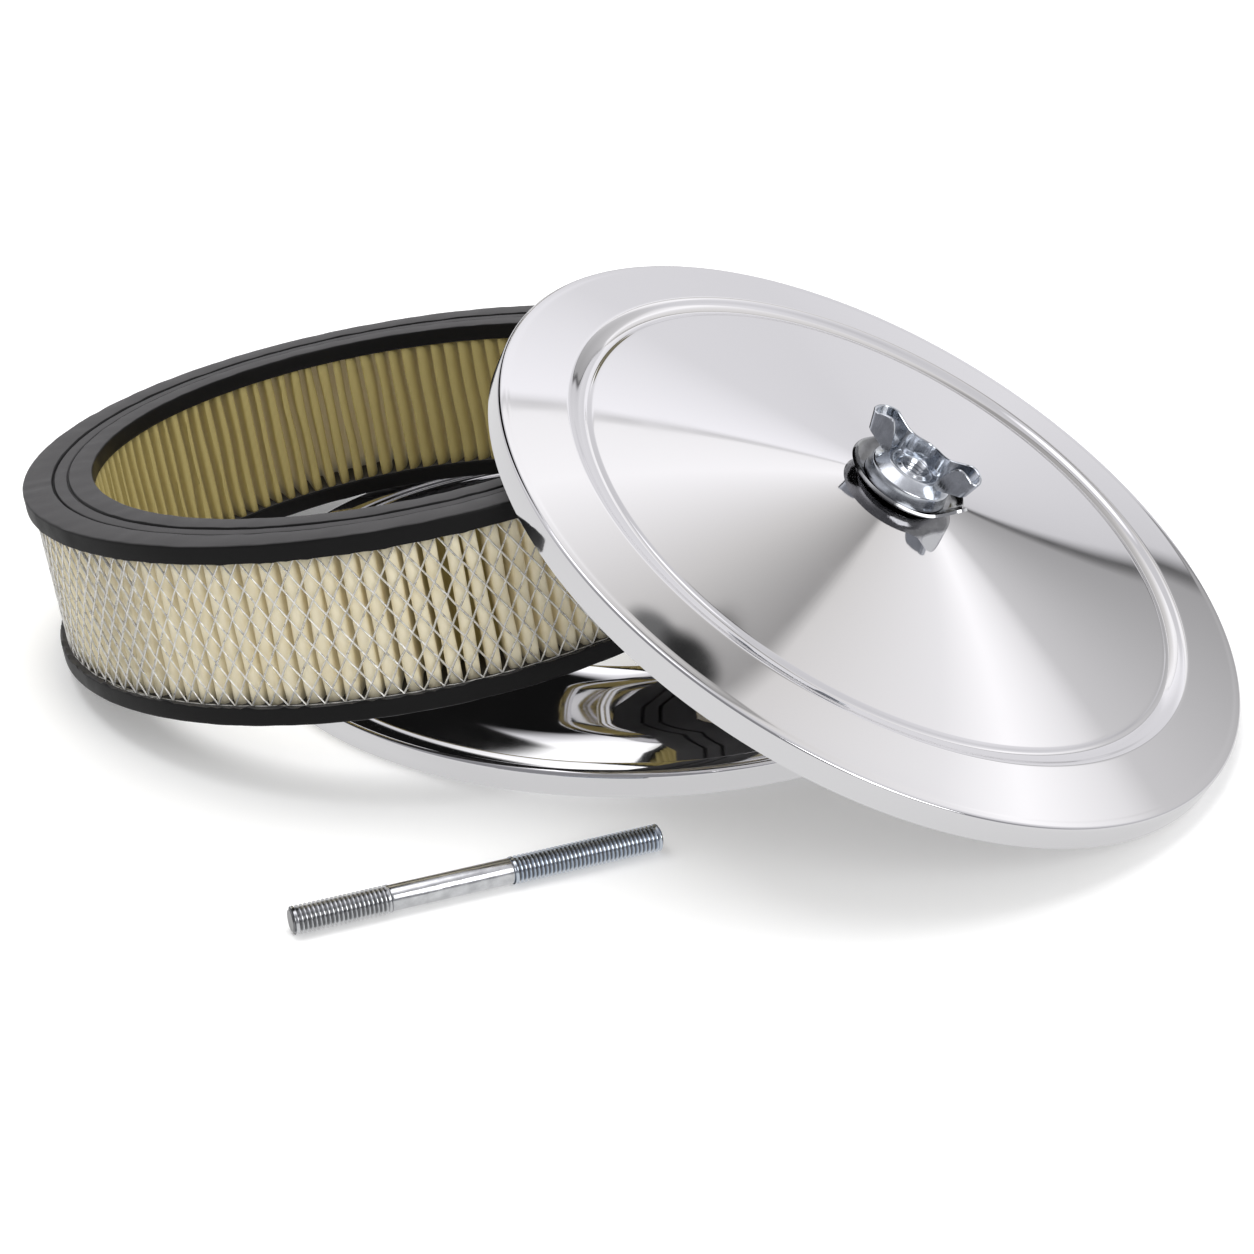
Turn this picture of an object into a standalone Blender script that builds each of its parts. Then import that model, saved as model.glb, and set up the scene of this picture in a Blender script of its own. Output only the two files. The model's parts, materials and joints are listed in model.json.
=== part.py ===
"""Carburetor air cleaner, taken apart on a bench.

A pressed pan lies flat. The round filter element leans with its low edge on the bench and its
underside on the pan's rim. The pressed lid leans with its lip on the bench and its underside on
the element, and carries a cup washer and a stamped wing nut in its centre hole. The centre stud
lies in front. Every length is in metres, with +Z up.
"""
from math import ceil, cos, hypot, pi, radians, sin

import bmesh
import bpy
import numpy as np
from mathutils import Matrix, Vector

# Fits and clearances
TOUCH_GAP = 0.0003
PILOT_CLEARANCE = 0.0006
SEAL_TO_RIM_CLEARANCE = 0.0005

# Pressed sheet of the lid and the pan
SHEET = 0.0010
COVER_RADIUS = 0.1270
ROUND_STEPS = 56

# Lid
LIP_HEIGHT = 0.0078
LIP_CORNER = 0.0016
SHOULDER_WIDTH = 0.0217
SHOULDER_RISE = 0.0033
STEP_RADIUS = COVER_RADIUS - SHOULDER_WIDTH
STEP_DROP = 0.0013
STEP_RUN = 0.0012
LEDGE_WIDTH = 0.0038
LEDGE_FALL = 0.0003
CONE_RISE = 0.0126
CROWN_RADIUS = 0.0165

# Pan
RIM_HEIGHT = 0.0082
RIM_CORNER = 0.0014
SEAT_HEIGHT = 0.0040
SEAT_MARGIN = 0.0010
DISH_SHARES = (0.33, 0.67)
NECK_CROWN_HEIGHT = 0.0130
NECK_CROWN_WIDTH = 0.0079
NECK_BORE_RADIUS = 0.0651
NECK_FLANGE_LENGTH = 0.0085
NECK_CORNER = 0.0020

# Filter element
RIM_WIDTH = 0.0080
SEAL_WIDTH = 0.0225
SEAL_OUTER_RADIUS = COVER_RADIUS - RIM_WIDTH - SEAL_TO_RIM_CLEARANCE
SEAL_INNER_RADIUS = SEAL_OUTER_RADIUS - SEAL_WIDTH
ELEMENT_HEIGHT = 0.0573
SEAL_HEIGHT = 0.0057
SEAL_CHAMFER = 0.0005
SEAL_GROOVE_WIDTH = 0.0022
SEAL_GROOVE_DEPTH = 0.0014
PLEAT_COUNT = 118
PLEAT_INSET = 0.0014
PAPER = 0.0007
FOLD_WIDTH = 0.0018
FOLD_THICKNESSES = 4
SCREEN_OVERHANG = 0.0021
SCREEN_THICKNESS = 0.0008
SCREEN_COLUMNS = 36
STRAND_WIDTH = 0.0014
SCREEN_HEM = 0.0016

# Stud
STUD_LENGTH = 0.1095
THREAD_RADIUS = 0.0040
THREAD_DEPTH = 0.0003
SHORT_THREAD = 0.0281
LONG_THREAD = 0.0454
STUD_CHAMFER = 0.0010
STUD_STEPS = 24

# Cup washer
WASHER_RADIUS = 0.0184
WASHER_SHEET = 0.0010
WASHER_RIM_RISE = 0.0036
WASHER_FLARE = 0.4
WASHER_EAR_REACH = 0.0036
WASHER_EAR_RISE = 0.0030
WASHER_EAR_SPREAD = radians(17)
WASHER_EAR_HEADING = radians(-32)
WASHER_STEPS = 40

# Wing nut
NUT_SKIRT_RADIUS = 0.0136
NUT_SKIRT_HEIGHT = 0.0042
NUT_SHELL = 0.0012
NUT_DECK_RADIUS = 0.0088
NUT_DECK_HEIGHT = 0.0066
NUT_EYE_RADIUS = 0.0049
NUT_EYE_RISE = 0.0007
NUT_EYE_SINK = 0.0012
NUT_PILOT_LENGTH = 0.0045
THREAD_MINOR_RATIO = 0.86
WING_SHEET = 0.0012
WING_HALF_WIDTH = 0.0036
WING_SKEW = 0.0016
WING_REACH = 0.0203
WING_FOOT = 0.0085
WING_TOP = 0.0165
WING_RISE = 0.35
WING_LEAN = 0.28
LEAF_ROOT = 0.0084
LEAF_FALL = 0.0014
LEAF_SHOULDER = 0.5
SADDLE_REACH = 0.0140
SADDLE_POWER = 1.5
WEB_TOP = 0.0118
WEB_BOW = 0.0078
NUT_HEADING = radians(-31)
NUT_STEPS = 32

# Places on the bench, from the pan's centre, in cover radii
ELEMENT_PLACE = (-0.5457, -0.0992)
ELEMENT_HEADING = radians(153.2)
LID_PLACE = (0.6268, -0.5362)
LID_HEADING = radians(-25.1)
STUD_PLACE = (-0.3118, -1.3992)
STUD_HEADING = radians(23.4)
TILT_SEARCH = (radians(0.5), radians(60))


def arc(centre, radius, start, end, steps):
    """Points on a round corner, angles in degrees from the outward direction."""
    return [(centre[0] + radius * cos(radians(start + (end - start) * i / steps)),
             centre[1] + radius * sin(radians(start + (end - start) * i / steps)))
            for i in range(steps + 1)]


def sheet_section(outline, thickness):
    """Closed section of a pressed sheet, from the outline of its upper side, outside to inside."""
    points = np.array(outline, float)
    steps = np.diff(points, axis=0)
    steps /= np.linalg.norm(steps, axis=1)[:, None]
    normals = np.stack([-steps[:, 1], steps[:, 0]], 1)
    before = np.vstack([normals[:1], normals])
    after = np.vstack([normals, normals[-1:]])
    bisector = before + after
    bisector /= np.linalg.norm(bisector, axis=1)[:, None]
    reach = thickness / (bisector * after).sum(1)
    return np.vstack([points, (points + bisector * reach[:, None])[::-1]])


def lid_section():
    """Lip, sloping shoulder, small step, ledge and a true cone up to a flat crown."""
    corner = COVER_RADIUS - LIP_CORNER
    ledge_height = SHOULDER_RISE - STEP_DROP - LEDGE_FALL
    ledge_inner = STEP_RADIUS - STEP_RUN - LEDGE_WIDTH
    outline = [(COVER_RADIUS, -LIP_HEIGHT)]
    outline += arc((corner, -LIP_CORNER), LIP_CORNER, 0, 80, 2)
    outline += [(STEP_RADIUS, SHOULDER_RISE),
                (STEP_RADIUS - STEP_RUN, SHOULDER_RISE - STEP_DROP),
                (ledge_inner, ledge_height),
                (CROWN_RADIUS, ledge_height + CONE_RISE),
                (lid_hole_radius(), ledge_height + CONE_RISE)]
    return sheet_section(outline, SHEET)


def pan_section():
    """Turned-down rim with a flat top, recessed seat, rising dish and a turned-down neck."""
    corner = COVER_RADIUS - RIM_CORNER
    rim_inner = SEAL_OUTER_RADIUS + SEAL_TO_RIM_CLEARANCE
    seat_inner = SEAL_INNER_RADIUS - SEAT_MARGIN
    crown = NECK_BORE_RADIUS + NECK_CROWN_WIDTH
    outline = [(COVER_RADIUS, 0.0)]
    outline += arc((corner, RIM_HEIGHT - RIM_CORNER), RIM_CORNER, 0, 90, 2)
    outline += [(rim_inner + RIM_CORNER, RIM_HEIGHT - SHEET / 4),
                (rim_inner, RIM_HEIGHT - RIM_CORNER),
                (rim_inner, SEAT_HEIGHT),
                (seat_inner, SEAT_HEIGHT)]
    for share in DISH_SHARES:
        outline.append((seat_inner + share * (crown - seat_inner),
                        SEAT_HEIGHT + (NECK_CROWN_HEIGHT - SEAT_HEIGHT) * (1 - cos(pi * share)) / 2))
    outline.append((crown, NECK_CROWN_HEIGHT))
    outline += arc((NECK_BORE_RADIUS + NECK_CORNER, NECK_CROWN_HEIGHT - NECK_CORNER), NECK_CORNER, 90, 180, 2)
    outline.append((NECK_BORE_RADIUS, NECK_CROWN_HEIGHT - NECK_FLANGE_LENGTH))
    return sheet_section(outline, SHEET)


def seal_section():
    """Moulded end ring, lying with its grooved face down and its other face on the paper."""
    middle = (SEAL_OUTER_RADIUS + SEAL_INNER_RADIUS) / 2
    half = SEAL_GROOVE_WIDTH / 2
    return np.array([
        (SEAL_INNER_RADIUS, SEAL_HEIGHT), (SEAL_INNER_RADIUS, SEAL_CHAMFER),
        (SEAL_INNER_RADIUS + SEAL_CHAMFER, 0.0), (middle - half, 0.0),
        (middle - half / 2, SEAL_GROOVE_DEPTH), (middle + half / 2, SEAL_GROOVE_DEPTH),
        (middle + half, 0.0), (SEAL_OUTER_RADIUS - SEAL_CHAMFER, 0.0),
        (SEAL_OUTER_RADIUS, SEAL_CHAMFER), (SEAL_OUTER_RADIUS, SEAL_HEIGHT)])


def element_section():
    """Outer envelope of the whole element, used to rest it and to rest the lid on it."""
    screen = screen_radius() + SCREEN_THICKNESS
    return np.array([
        (SEAL_INNER_RADIUS, ELEMENT_HEIGHT - SEAL_CHAMFER), (SEAL_INNER_RADIUS, SEAL_CHAMFER),
        (SEAL_INNER_RADIUS + SEAL_CHAMFER, 0.0), (SEAL_OUTER_RADIUS - SEAL_CHAMFER, 0.0),
        (SEAL_OUTER_RADIUS, SEAL_CHAMFER), (SEAL_OUTER_RADIUS, SEAL_HEIGHT), (screen, SEAL_HEIGHT),
        (screen, ELEMENT_HEIGHT - SEAL_HEIGHT), (SEAL_OUTER_RADIUS, ELEMENT_HEIGHT - SEAL_HEIGHT),
        (SEAL_OUTER_RADIUS, ELEMENT_HEIGHT - SEAL_CHAMFER),
        (SEAL_OUTER_RADIUS - SEAL_CHAMFER, ELEMENT_HEIGHT),
        (SEAL_INNER_RADIUS + SEAL_CHAMFER, ELEMENT_HEIGHT)])


def stud_section():
    """Half outline of the stud, chamfered at both ends, with a slightly thinner plain shank."""
    shank = THREAD_RADIUS - THREAD_DEPTH
    return [(0.0, 0.0), (THREAD_RADIUS - STUD_CHAMFER, 0.0), (THREAD_RADIUS, STUD_CHAMFER),
            (THREAD_RADIUS, SHORT_THREAD), (shank, SHORT_THREAD + THREAD_DEPTH),
            (shank, STUD_LENGTH - LONG_THREAD - THREAD_DEPTH), (THREAD_RADIUS, STUD_LENGTH - LONG_THREAD),
            (THREAD_RADIUS, STUD_LENGTH - STUD_CHAMFER), (THREAD_RADIUS - STUD_CHAMFER, STUD_LENGTH),
            (0.0, STUD_LENGTH)]


def screen_radius():
    """Inner face of the screen, under the overhang of the end seals."""
    return SEAL_OUTER_RADIUS - SCREEN_OVERHANG - SCREEN_THICKNESS


def nut_bore_radius():
    """Thread core of the wing nut, which runs on the stud."""
    return THREAD_RADIUS * THREAD_MINOR_RATIO


def lid_hole_radius():
    """Centre hole of the lid and the cup washer, round the wing nut's pilot."""
    return NUT_EYE_RADIUS + PILOT_CLEARANCE


def crown_height():
    """Height of the lid's flat crown above the top of its lip."""
    return SHOULDER_RISE - STEP_DROP - LEDGE_FALL + CONE_RISE


def heading_pose(tilt, heading, place, height):
    """Rotation and origin of a turned piece whose axis leans over towards a heading."""
    rotation = Matrix.Rotation(heading, 3, 'Z') @ Matrix.Rotation(tilt, 3, 'Y')
    return rotation, Vector((place[0] * COVER_RADIUS, place[1] * COVER_RADIUS, height))


def resting_pose(section, tilt, heading, place):
    """The same pose, at the height that sets the lowest point of the section on the bench."""
    height = max(r * sin(tilt) - h * cos(tilt) for r, h in section)
    return heading_pose(tilt, heading, place, height)


def outline_samples(section, step, turns):
    """Points spread over the surface that a section sweeps, in its own frame."""
    along = []
    for start, end in zip(section, np.roll(section, -1, axis=0)):
        count = max(1, ceil(np.linalg.norm(end - start) / step))
        along.append(start + (end - start) * np.linspace(0, 1, count, endpoint=False)[:, None])
    along = np.vstack(along)
    angle = np.linspace(0, 2 * pi, turns, endpoint=False)
    radius = along[:, :1]
    return np.stack([radius * np.cos(angle), radius * np.sin(angle), along[:, 1:] + 0 * angle], -1).reshape(-1, 3)


def signed_distance(points, section):
    """Distance from section points to a closed section, negative inside it."""
    start, end = section, np.roll(section, -1, axis=0)
    span = end - start
    share = ((points[:, None] - start) * span).sum(2) / (span ** 2).sum(1)
    nearest = start + np.clip(share, 0, 1)[..., None] * span
    distance = np.linalg.norm(points[:, None] - nearest, axis=2).min(1)
    x, y = points[:, :1], points[:, 1:]
    crosses = (end[:, 1] > y) != (start[:, 1] > y)
    rise = np.where(span[:, 1] == 0, 1, span[:, 1])
    inside = (crosses & (x < start[:, 0] + span[:, 0] * (y - start[:, 1]) / rise)).sum(1) % 2 == 1
    return np.where(inside, -distance, distance)


def clearance(section_a, pose_a, section_b, pose_b):
    """Least distance between two turned pieces, negative where they would overlap."""
    least = []
    for (near, near_pose), (far, far_pose) in (((section_a, pose_a), (section_b, pose_b)),
                                               ((section_b, pose_b), (section_a, pose_a))):
        world = outline_samples(near, 0.004, 240) @ np.array(near_pose[0]).T + np.array(near_pose[1])
        local = (world - np.array(far_pose[1])) @ np.array(far_pose[0])
        flat = np.stack([np.hypot(local[:, 0], local[:, 1]), local[:, 2]], 1)
        least.append(signed_distance(flat, far).min())
    return min(least)


def leaning_pose(section, heading, place, support, support_pose):
    """Tilt a piece, its low edge on the bench, until it just clears what it leans on."""
    low, high = TILT_SEARCH
    for _ in range(16):
        tilt = (low + high) / 2
        pose = resting_pose(section, tilt, heading, place)
        if clearance(section, pose, support, support_pose) > TOUCH_GAP:
            high = tilt
        else:
            low = tilt
    return resting_pose(section, high, heading, place)


def make_material(name, colour, roughness, metallic):
    """Plain Principled material."""
    material = bpy.data.materials.new(name)
    material.use_nodes = True
    shader = material.node_tree.nodes["Principled BSDF"]
    shader.inputs["Base Color"].default_value = (*colour, 1.0)
    shader.inputs["Roughness"].default_value = roughness
    shader.inputs["Metallic"].default_value = metallic
    return material


def finish_object(name, mesh_builder, material, smooth_angle):
    """Turn a bmesh into a named object, shaded smooth up to an angle."""
    bmesh.ops.remove_doubles(mesh_builder, verts=mesh_builder.verts, dist=1e-6)
    bmesh.ops.recalc_face_normals(mesh_builder, faces=mesh_builder.faces)
    mesh = bpy.data.meshes.new(name)
    mesh_builder.to_mesh(mesh)
    mesh_builder.free()
    mesh.shade_smooth()
    mesh.set_sharp_from_angle(angle=smooth_angle)
    mesh.materials.append(material)
    thing = bpy.data.objects.new(name, mesh)
    bpy.context.collection.objects.link(thing)
    return thing


def place_object(thing, parent, pose):
    """Set an object at a pose in its parent's frame."""
    rotation, origin = pose
    thing.parent = parent
    thing.matrix_local = Matrix.Translation(origin) @ rotation.to_4x4()


def turned_mesh(section, steps, closed=True):
    """Spin a section of radius and height pairs about the upright axis."""
    builder = bmesh.new()
    verts = [builder.verts.new((r, 0.0, h)) for r, h in section]
    pairs = list(zip(verts, verts[1:]))
    if closed:
        pairs.append((verts[-1], verts[0]))
    edges = [builder.edges.new(pair) for pair in pairs]
    bmesh.ops.spin(builder, geom=verts + edges, cent=(0, 0, 0), axis=(0, 0, 1),
                   angle=2 * pi, steps=steps, use_merge=True)
    bmesh.ops.remove_doubles(builder, verts=builder.verts, dist=1e-6)
    return builder


def make_pan(material):
    """Pressed pan that the element sits in and the carburetor's neck fits."""
    return finish_object("base_pan", turned_mesh(pan_section(), ROUND_STEPS), material, radians(40))


def make_lid(material):
    """Pressed lid with its centre hole."""
    return finish_object("lid", turned_mesh(lid_section(), ROUND_STEPS), material, radians(40))


def make_seal(name, material):
    """One end ring of the element, grooved face down."""
    return finish_object(name, turned_mesh(seal_section(), ROUND_STEPS), material, radians(30))


def pleat_rings():
    """Outer and inner outline of the folded paper, each as a closed ring of points."""
    outer_radius = screen_radius() * cos(pi / SCREEN_COLUMNS) - TOUCH_GAP
    inner_radius = SEAL_INNER_RADIUS + PLEAT_INSET
    pitch = 2 * pi / PLEAT_COUNT
    tip = FOLD_WIDTH / outer_radius / 2
    fold_depth = PAPER * FOLD_THICKNESSES
    outer, inner = [], []
    for i in range(PLEAT_COUNT):
        crest = i * pitch
        valley = crest + pitch / 2
        inset = tip * (1 - PAPER / FOLD_WIDTH)
        outer += [(outer_radius, crest - tip), (outer_radius, crest + tip), (inner_radius + fold_depth, valley)]
        inner += [(outer_radius - PAPER, crest - inset), (outer_radius - PAPER, crest + inset), (inner_radius, valley)]
    return outer, inner


def make_paper(material):
    """Folded filter paper, one continuous strip from seal to seal."""
    low = SEAL_HEIGHT + TOUCH_GAP
    high = ELEMENT_HEIGHT - SEAL_HEIGHT - TOUCH_GAP
    builder = bmesh.new()
    rings = []
    for ring in pleat_rings():
        for height in (low, high):
            rings.append([builder.verts.new((r * cos(a), r * sin(a), height)) for r, a in ring])
    outer_low, outer_high, inner_low, inner_high = rings
    count = len(outer_low)
    for i in range(count):
        j = (i + 1) % count
        builder.faces.new((outer_low[i], outer_low[j], outer_high[j], outer_high[i]))
        builder.faces.new((inner_low[j], inner_low[i], inner_high[i], inner_high[j]))
        builder.faces.new((outer_high[i], outer_high[j], inner_high[j], inner_high[i]))
        builder.faces.new((outer_low[j], outer_low[i], inner_low[i], inner_low[j]))
    return finish_object("pleated_paper", builder, material, radians(20))


def screen_tiles(width, height):
    """One column of the diamond screen as flat polygons, measured round and up from mid-column."""
    half = width / 2
    mid = height / 2
    rise = mid / half
    across = STRAND_WIDTH / 2 * (1 + rise ** 2) ** 0.5 / rise
    upright = across * rise
    open_half = half - across
    open_rise = mid - upright
    band = mid - SCREEN_HEM
    corner = half - (half - across) * (band - upright) / (mid - upright)
    tiles = []
    for up in (1, -1):
        crossing = (half, mid + up * upright)
        post = (corner, mid + up * band)
        tip = (0.0, mid + up * min(open_rise, band))
        tiles.append([(open_half, mid), crossing, post, tip])
        tiles.append([(-open_half, mid), (-half, mid + up * upright), (-corner, mid + up * band), tip])
        edge = mid + up * mid
        tiles.append([(-corner, mid + up * band), tip, post, (corner, edge), (-corner, edge)])
        tiles.append([post, (width - corner, mid + up * band), (width - corner, edge), (corner, edge)])
    tiles.append([(open_half, mid), (half, mid + upright), (width - open_half, mid), (half, mid - upright)])
    return tiles


def make_screen(material):
    """Diamond screen round the pleats, one wall with its openings right through."""
    low = SEAL_HEIGHT + TOUCH_GAP
    height = ELEMENT_HEIGHT - 2 * low
    radius = screen_radius() + SCREEN_THICKNESS
    width = 2 * pi * radius / SCREEN_COLUMNS
    builder = bmesh.new()
    for column in range(SCREEN_COLUMNS):
        for tile in screen_tiles(width, height):
            points = [(round_place / radius + column * 2 * pi / SCREEN_COLUMNS, up) for round_place, up in tile]
            builder.faces.new([builder.verts.new((radius * cos(a), radius * sin(a), low + up)) for a, up in points])
    thing = finish_object("outer_screen", builder, material, radians(20))
    thicken = thing.modifiers.new("Wall", 'SOLIDIFY')
    thicken.thickness = SCREEN_THICKNESS
    thicken.offset = -1.0
    return thing


def make_stud(material):
    """Stud with a short and a long threaded end, lying on its side."""
    builder = turned_mesh(stud_section(), STUD_STEPS, closed=False)
    return finish_object("centre_stud", builder, material, radians(30))


def make_washer(material):
    """Cup washer: flat floor with a centre hole, turned-up rim and one flared ear."""
    floor = NUT_SKIRT_RADIUS + PILOT_CLEARANCE
    profile = [(lid_hole_radius(), 0.0), (floor, 0.0),
               ((floor + WASHER_RADIUS) / 2, WASHER_RIM_RISE * WASHER_FLARE), (WASHER_RADIUS, WASHER_RIM_RISE)]
    weights = [0.0, 0.0, WASHER_FLARE, 1.0]
    section = sheet_section(profile[::-1], WASHER_SHEET)
    section[:, 1] += WASHER_SHEET
    section_weights = weights[::-1] + weights
    builder = bmesh.new()
    rings = []
    for i in range(WASHER_STEPS):
        angle = 2 * pi * i / WASHER_STEPS
        away = (angle - WASHER_EAR_HEADING + pi) % (2 * pi) - pi
        swell = np.exp(-(away / WASHER_EAR_SPREAD) ** 2)
        ring = []
        for (r, h), weight in zip(section, section_weights):
            r += WASHER_EAR_REACH * weight * swell
            h += WASHER_EAR_RISE * weight * swell
            ring.append(builder.verts.new((r * cos(angle), r * sin(angle), h)))
        rings.append(ring)
    count = len(section)
    for i in range(WASHER_STEPS):
        here, ahead = rings[i], rings[(i + 1) % WASHER_STEPS]
        for j in range(count):
            k = (j + 1) % count
            builder.faces.new((here[j], here[k], ahead[k], ahead[j]))
    return finish_object("cup_washer", builder, material, radians(40))


def nut_section():
    """Stamped hub: skirt, coned side, sunk deck, threaded eye and the pilot below it."""
    bore = nut_bore_radius()
    deck = NUT_DECK_HEIGHT
    sunk = deck - NUT_EYE_SINK
    return [(bore, -NUT_PILOT_LENGTH), (NUT_EYE_RADIUS, -NUT_PILOT_LENGTH),
            (NUT_EYE_RADIUS, sunk - NUT_SHELL), (NUT_DECK_RADIUS - NUT_SHELL, deck - NUT_SHELL),
            (NUT_SKIRT_RADIUS - NUT_SHELL, NUT_SKIRT_HEIGHT - NUT_SHELL / 2), (NUT_SKIRT_RADIUS - NUT_SHELL, 0.0),
            (NUT_SKIRT_RADIUS, 0.0), (NUT_SKIRT_RADIUS, NUT_SKIRT_HEIGHT), (NUT_DECK_RADIUS, deck),
            (NUT_DECK_RADIUS - NUT_EYE_SINK, deck), (NUT_EYE_RADIUS + NUT_EYE_SINK, sunk),
            (NUT_EYE_RADIUS - NUT_SHELL / 4, deck + NUT_EYE_RISE - NUT_EYE_SINK / 2), (bore, sunk)]


def wing_path():
    """Plan of the folded strip: each place, its nearness to the hub, and its facing, front to back."""
    bend = WING_REACH - hypot(WING_HALF_WIDTH, WING_SKEW)
    front_end, back_end = bend + WING_SKEW, bend - WING_SKEW
    side = [(front_end - share * (front_end - WING_FOOT), -WING_HALF_WIDTH, share, -1.0)
            for share in (1.0, 0.8, 0.6, 0.4, 0.2)]
    for turn in range(-90, 91, 30):
        facing = sin(radians(turn))
        side.append((bend + WING_HALF_WIDTH * cos(radians(turn)) - WING_SKEW * facing,
                     WING_HALF_WIDTH * facing, 0.0, facing))
    side += [(back_end - share * (back_end - WING_FOOT), WING_HALF_WIDTH, share, 1.0)
             for share in (0.35, 0.7, 1.0)]
    web = []
    for place in (0.75, 0.5, 0.25, 0.0, -0.25, -0.5, -0.75):
        bow = WING_HALF_WIDTH + (WEB_BOW - WING_HALF_WIDTH) * (1 + cos(pi * place)) / 2
        web.append((place * WING_FOOT, bow, 1.0, 1.0))
    mirrored = [(-x, y, share, facing) for x, y, share, facing in reversed(side)]
    return side + web + mirrored


def wing_top(reach, share, facing):
    """Height of the strip's upper edge: a rounded leaf in front, one long saddle behind."""
    out = 1 - share
    rise = sin(min(1.0, out / LEAF_SHOULDER) * pi / 2)
    leaf = LEAF_ROOT + (WING_TOP - LEAF_ROOT) * rise - LEAF_FALL * out ** 4
    saddle = WEB_TOP + (WING_TOP - WEB_TOP) * min(1.0, reach / SADDLE_REACH) ** SADDLE_POWER
    return leaf + (saddle - leaf) * (1 + facing) / 2


def make_wings():
    """The strip that stands on the hub: two folded wings joined by a web behind the eye."""
    path = wing_path()
    flat = np.array([(x, y) for x, y, _, _ in path])
    section = sheet_section(flat, WING_SHEET)
    builder = bmesh.new()
    rows = []
    for outer, inner, (_, _, share, facing) in zip(flat, section[::-1], path):
        reach = abs(outer[0])
        top = wing_top(reach, share, facing)
        low = NUT_DECK_HEIGHT - NUT_SHELL + max(0.0, reach - NUT_DECK_RADIUS) * WING_RISE
        lean = WING_LEAN * max(0.0, reach - WING_FOOT) / (WING_REACH - WING_FOOT)
        side = 1 if outer[0] >= 0 else -1
        row = []
        for (x, y), h in ((outer, low), (inner, low), (inner, top), (outer, top)):
            row.append(builder.verts.new((x + side * lean * (h - WING_TOP), y, h)))
        rows.append(row)
    for here, ahead in zip(rows, rows[1:]):
        for j in range(4):
            k = (j + 1) % 4
            builder.faces.new((here[j], here[k], ahead[k], ahead[j]))
    builder.faces.new(rows[0])
    builder.faces.new(rows[-1][::-1])
    return builder


def make_wing_nut(material):
    """Stamped wing nut, one solid, its origin on the axis that it turns about."""
    hub = finish_object("wing_nut", turned_mesh(nut_section(), NUT_STEPS), material, radians(35))
    wings = finish_object("wing_nut_wings", make_wings(), material, radians(35))
    join = hub.modifiers.new("Wings", 'BOOLEAN')
    join.operation = 'UNION'
    join.object = wings
    wings.parent = hub
    wings.hide_render = True
    wings.display_type = 'WIRE'
    return hub


def centre_on_bench(parent):
    """Move the whole layout so that its box stands centred over the origin."""
    bpy.context.view_layer.update()
    depsgraph = bpy.context.evaluated_depsgraph_get()
    low = Vector((1e9, 1e9, 1e9))
    high = -low
    for thing in bpy.data.objects:
        if thing.type != 'MESH' or thing.hide_render:
            continue
        solid = thing.evaluated_get(depsgraph)
        for vert in solid.data.vertices:
            place = solid.matrix_world @ vert.co
            low = Vector(map(min, low, place))
            high = Vector(map(max, high, place))
    parent.location = Vector((-(low.x + high.x) / 2, -(low.y + high.y) / 2, -low.z))


def main():
    """Build every piece and lay it in its place."""
    for thing in list(bpy.data.objects):
        bpy.data.objects.remove(thing, do_unlink=True)
    chrome = make_material("bright_chrome", (0.80, 0.80, 0.82), 0.06, 1.0)
    rubber = make_material("black_seal_rubber", (0.022, 0.022, 0.022), 0.55, 0.0)
    paper = make_material("cream_filter_paper", (0.74, 0.68, 0.50), 0.90, 0.0)
    screen = make_material("bright_screen_steel", (0.62, 0.63, 0.63), 0.32, 1.0)
    zinc = make_material("zinc_plated_steel", (0.58, 0.60, 0.62), 0.22, 1.0)

    bench = bpy.data.objects.new("air_cleaner", None)
    bpy.context.collection.objects.link(bench)

    pan_pose = heading_pose(0.0, 0.0, (0.0, 0.0), 0.0)
    element_pose = leaning_pose(element_section(), ELEMENT_HEADING, ELEMENT_PLACE, pan_section(), pan_pose)
    lid_pose = leaning_pose(lid_section(), LID_HEADING, LID_PLACE, element_section(), element_pose)

    place_object(make_pan(chrome), bench, pan_pose)

    element_frame = bpy.data.objects.new("filter_element", None)
    bpy.context.collection.objects.link(element_frame)
    place_object(element_frame, bench, element_pose)
    upright = Matrix.Identity(3)
    place_object(make_seal("bottom_seal", rubber), element_frame, (upright, Vector((0, 0, 0))))
    flipped = Matrix.Rotation(pi, 3, 'X')
    place_object(make_seal("top_seal", rubber), element_frame, (flipped, Vector((0, 0, ELEMENT_HEIGHT))))
    place_object(make_paper(paper), element_frame, (upright, Vector((0, 0, 0))))
    place_object(make_screen(screen), element_frame, (upright, Vector((0, 0, 0))))

    lid_frame = bpy.data.objects.new("lid_with_fixings", None)
    bpy.context.collection.objects.link(lid_frame)
    place_object(lid_frame, bench, lid_pose)
    place_object(make_lid(chrome), lid_frame, (upright, Vector((0, 0, 0))))
    washer_height = crown_height() + TOUCH_GAP
    nut_height = washer_height + WASHER_SHEET + TOUCH_GAP
    turned = Matrix.Rotation(-LID_HEADING, 3, 'Z')
    place_object(make_washer(zinc), lid_frame, (turned, Vector((0, 0, washer_height))))
    nut_turn = turned @ Matrix.Rotation(NUT_HEADING, 3, 'Z')
    place_object(make_wing_nut(zinc), lid_frame, (nut_turn, Vector((0, 0, nut_height))))

    along = Matrix.Rotation(STUD_HEADING, 3, 'Z') @ Matrix.Rotation(pi / 2, 3, 'Y')
    middle = Vector((STUD_PLACE[0] * COVER_RADIUS, STUD_PLACE[1] * COVER_RADIUS, THREAD_RADIUS))
    start = middle - along @ Vector((0, 0, STUD_LENGTH / 2))
    place_object(make_stud(zinc), bench, (along, start))

    centre_on_bench(bench)


main()
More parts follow.
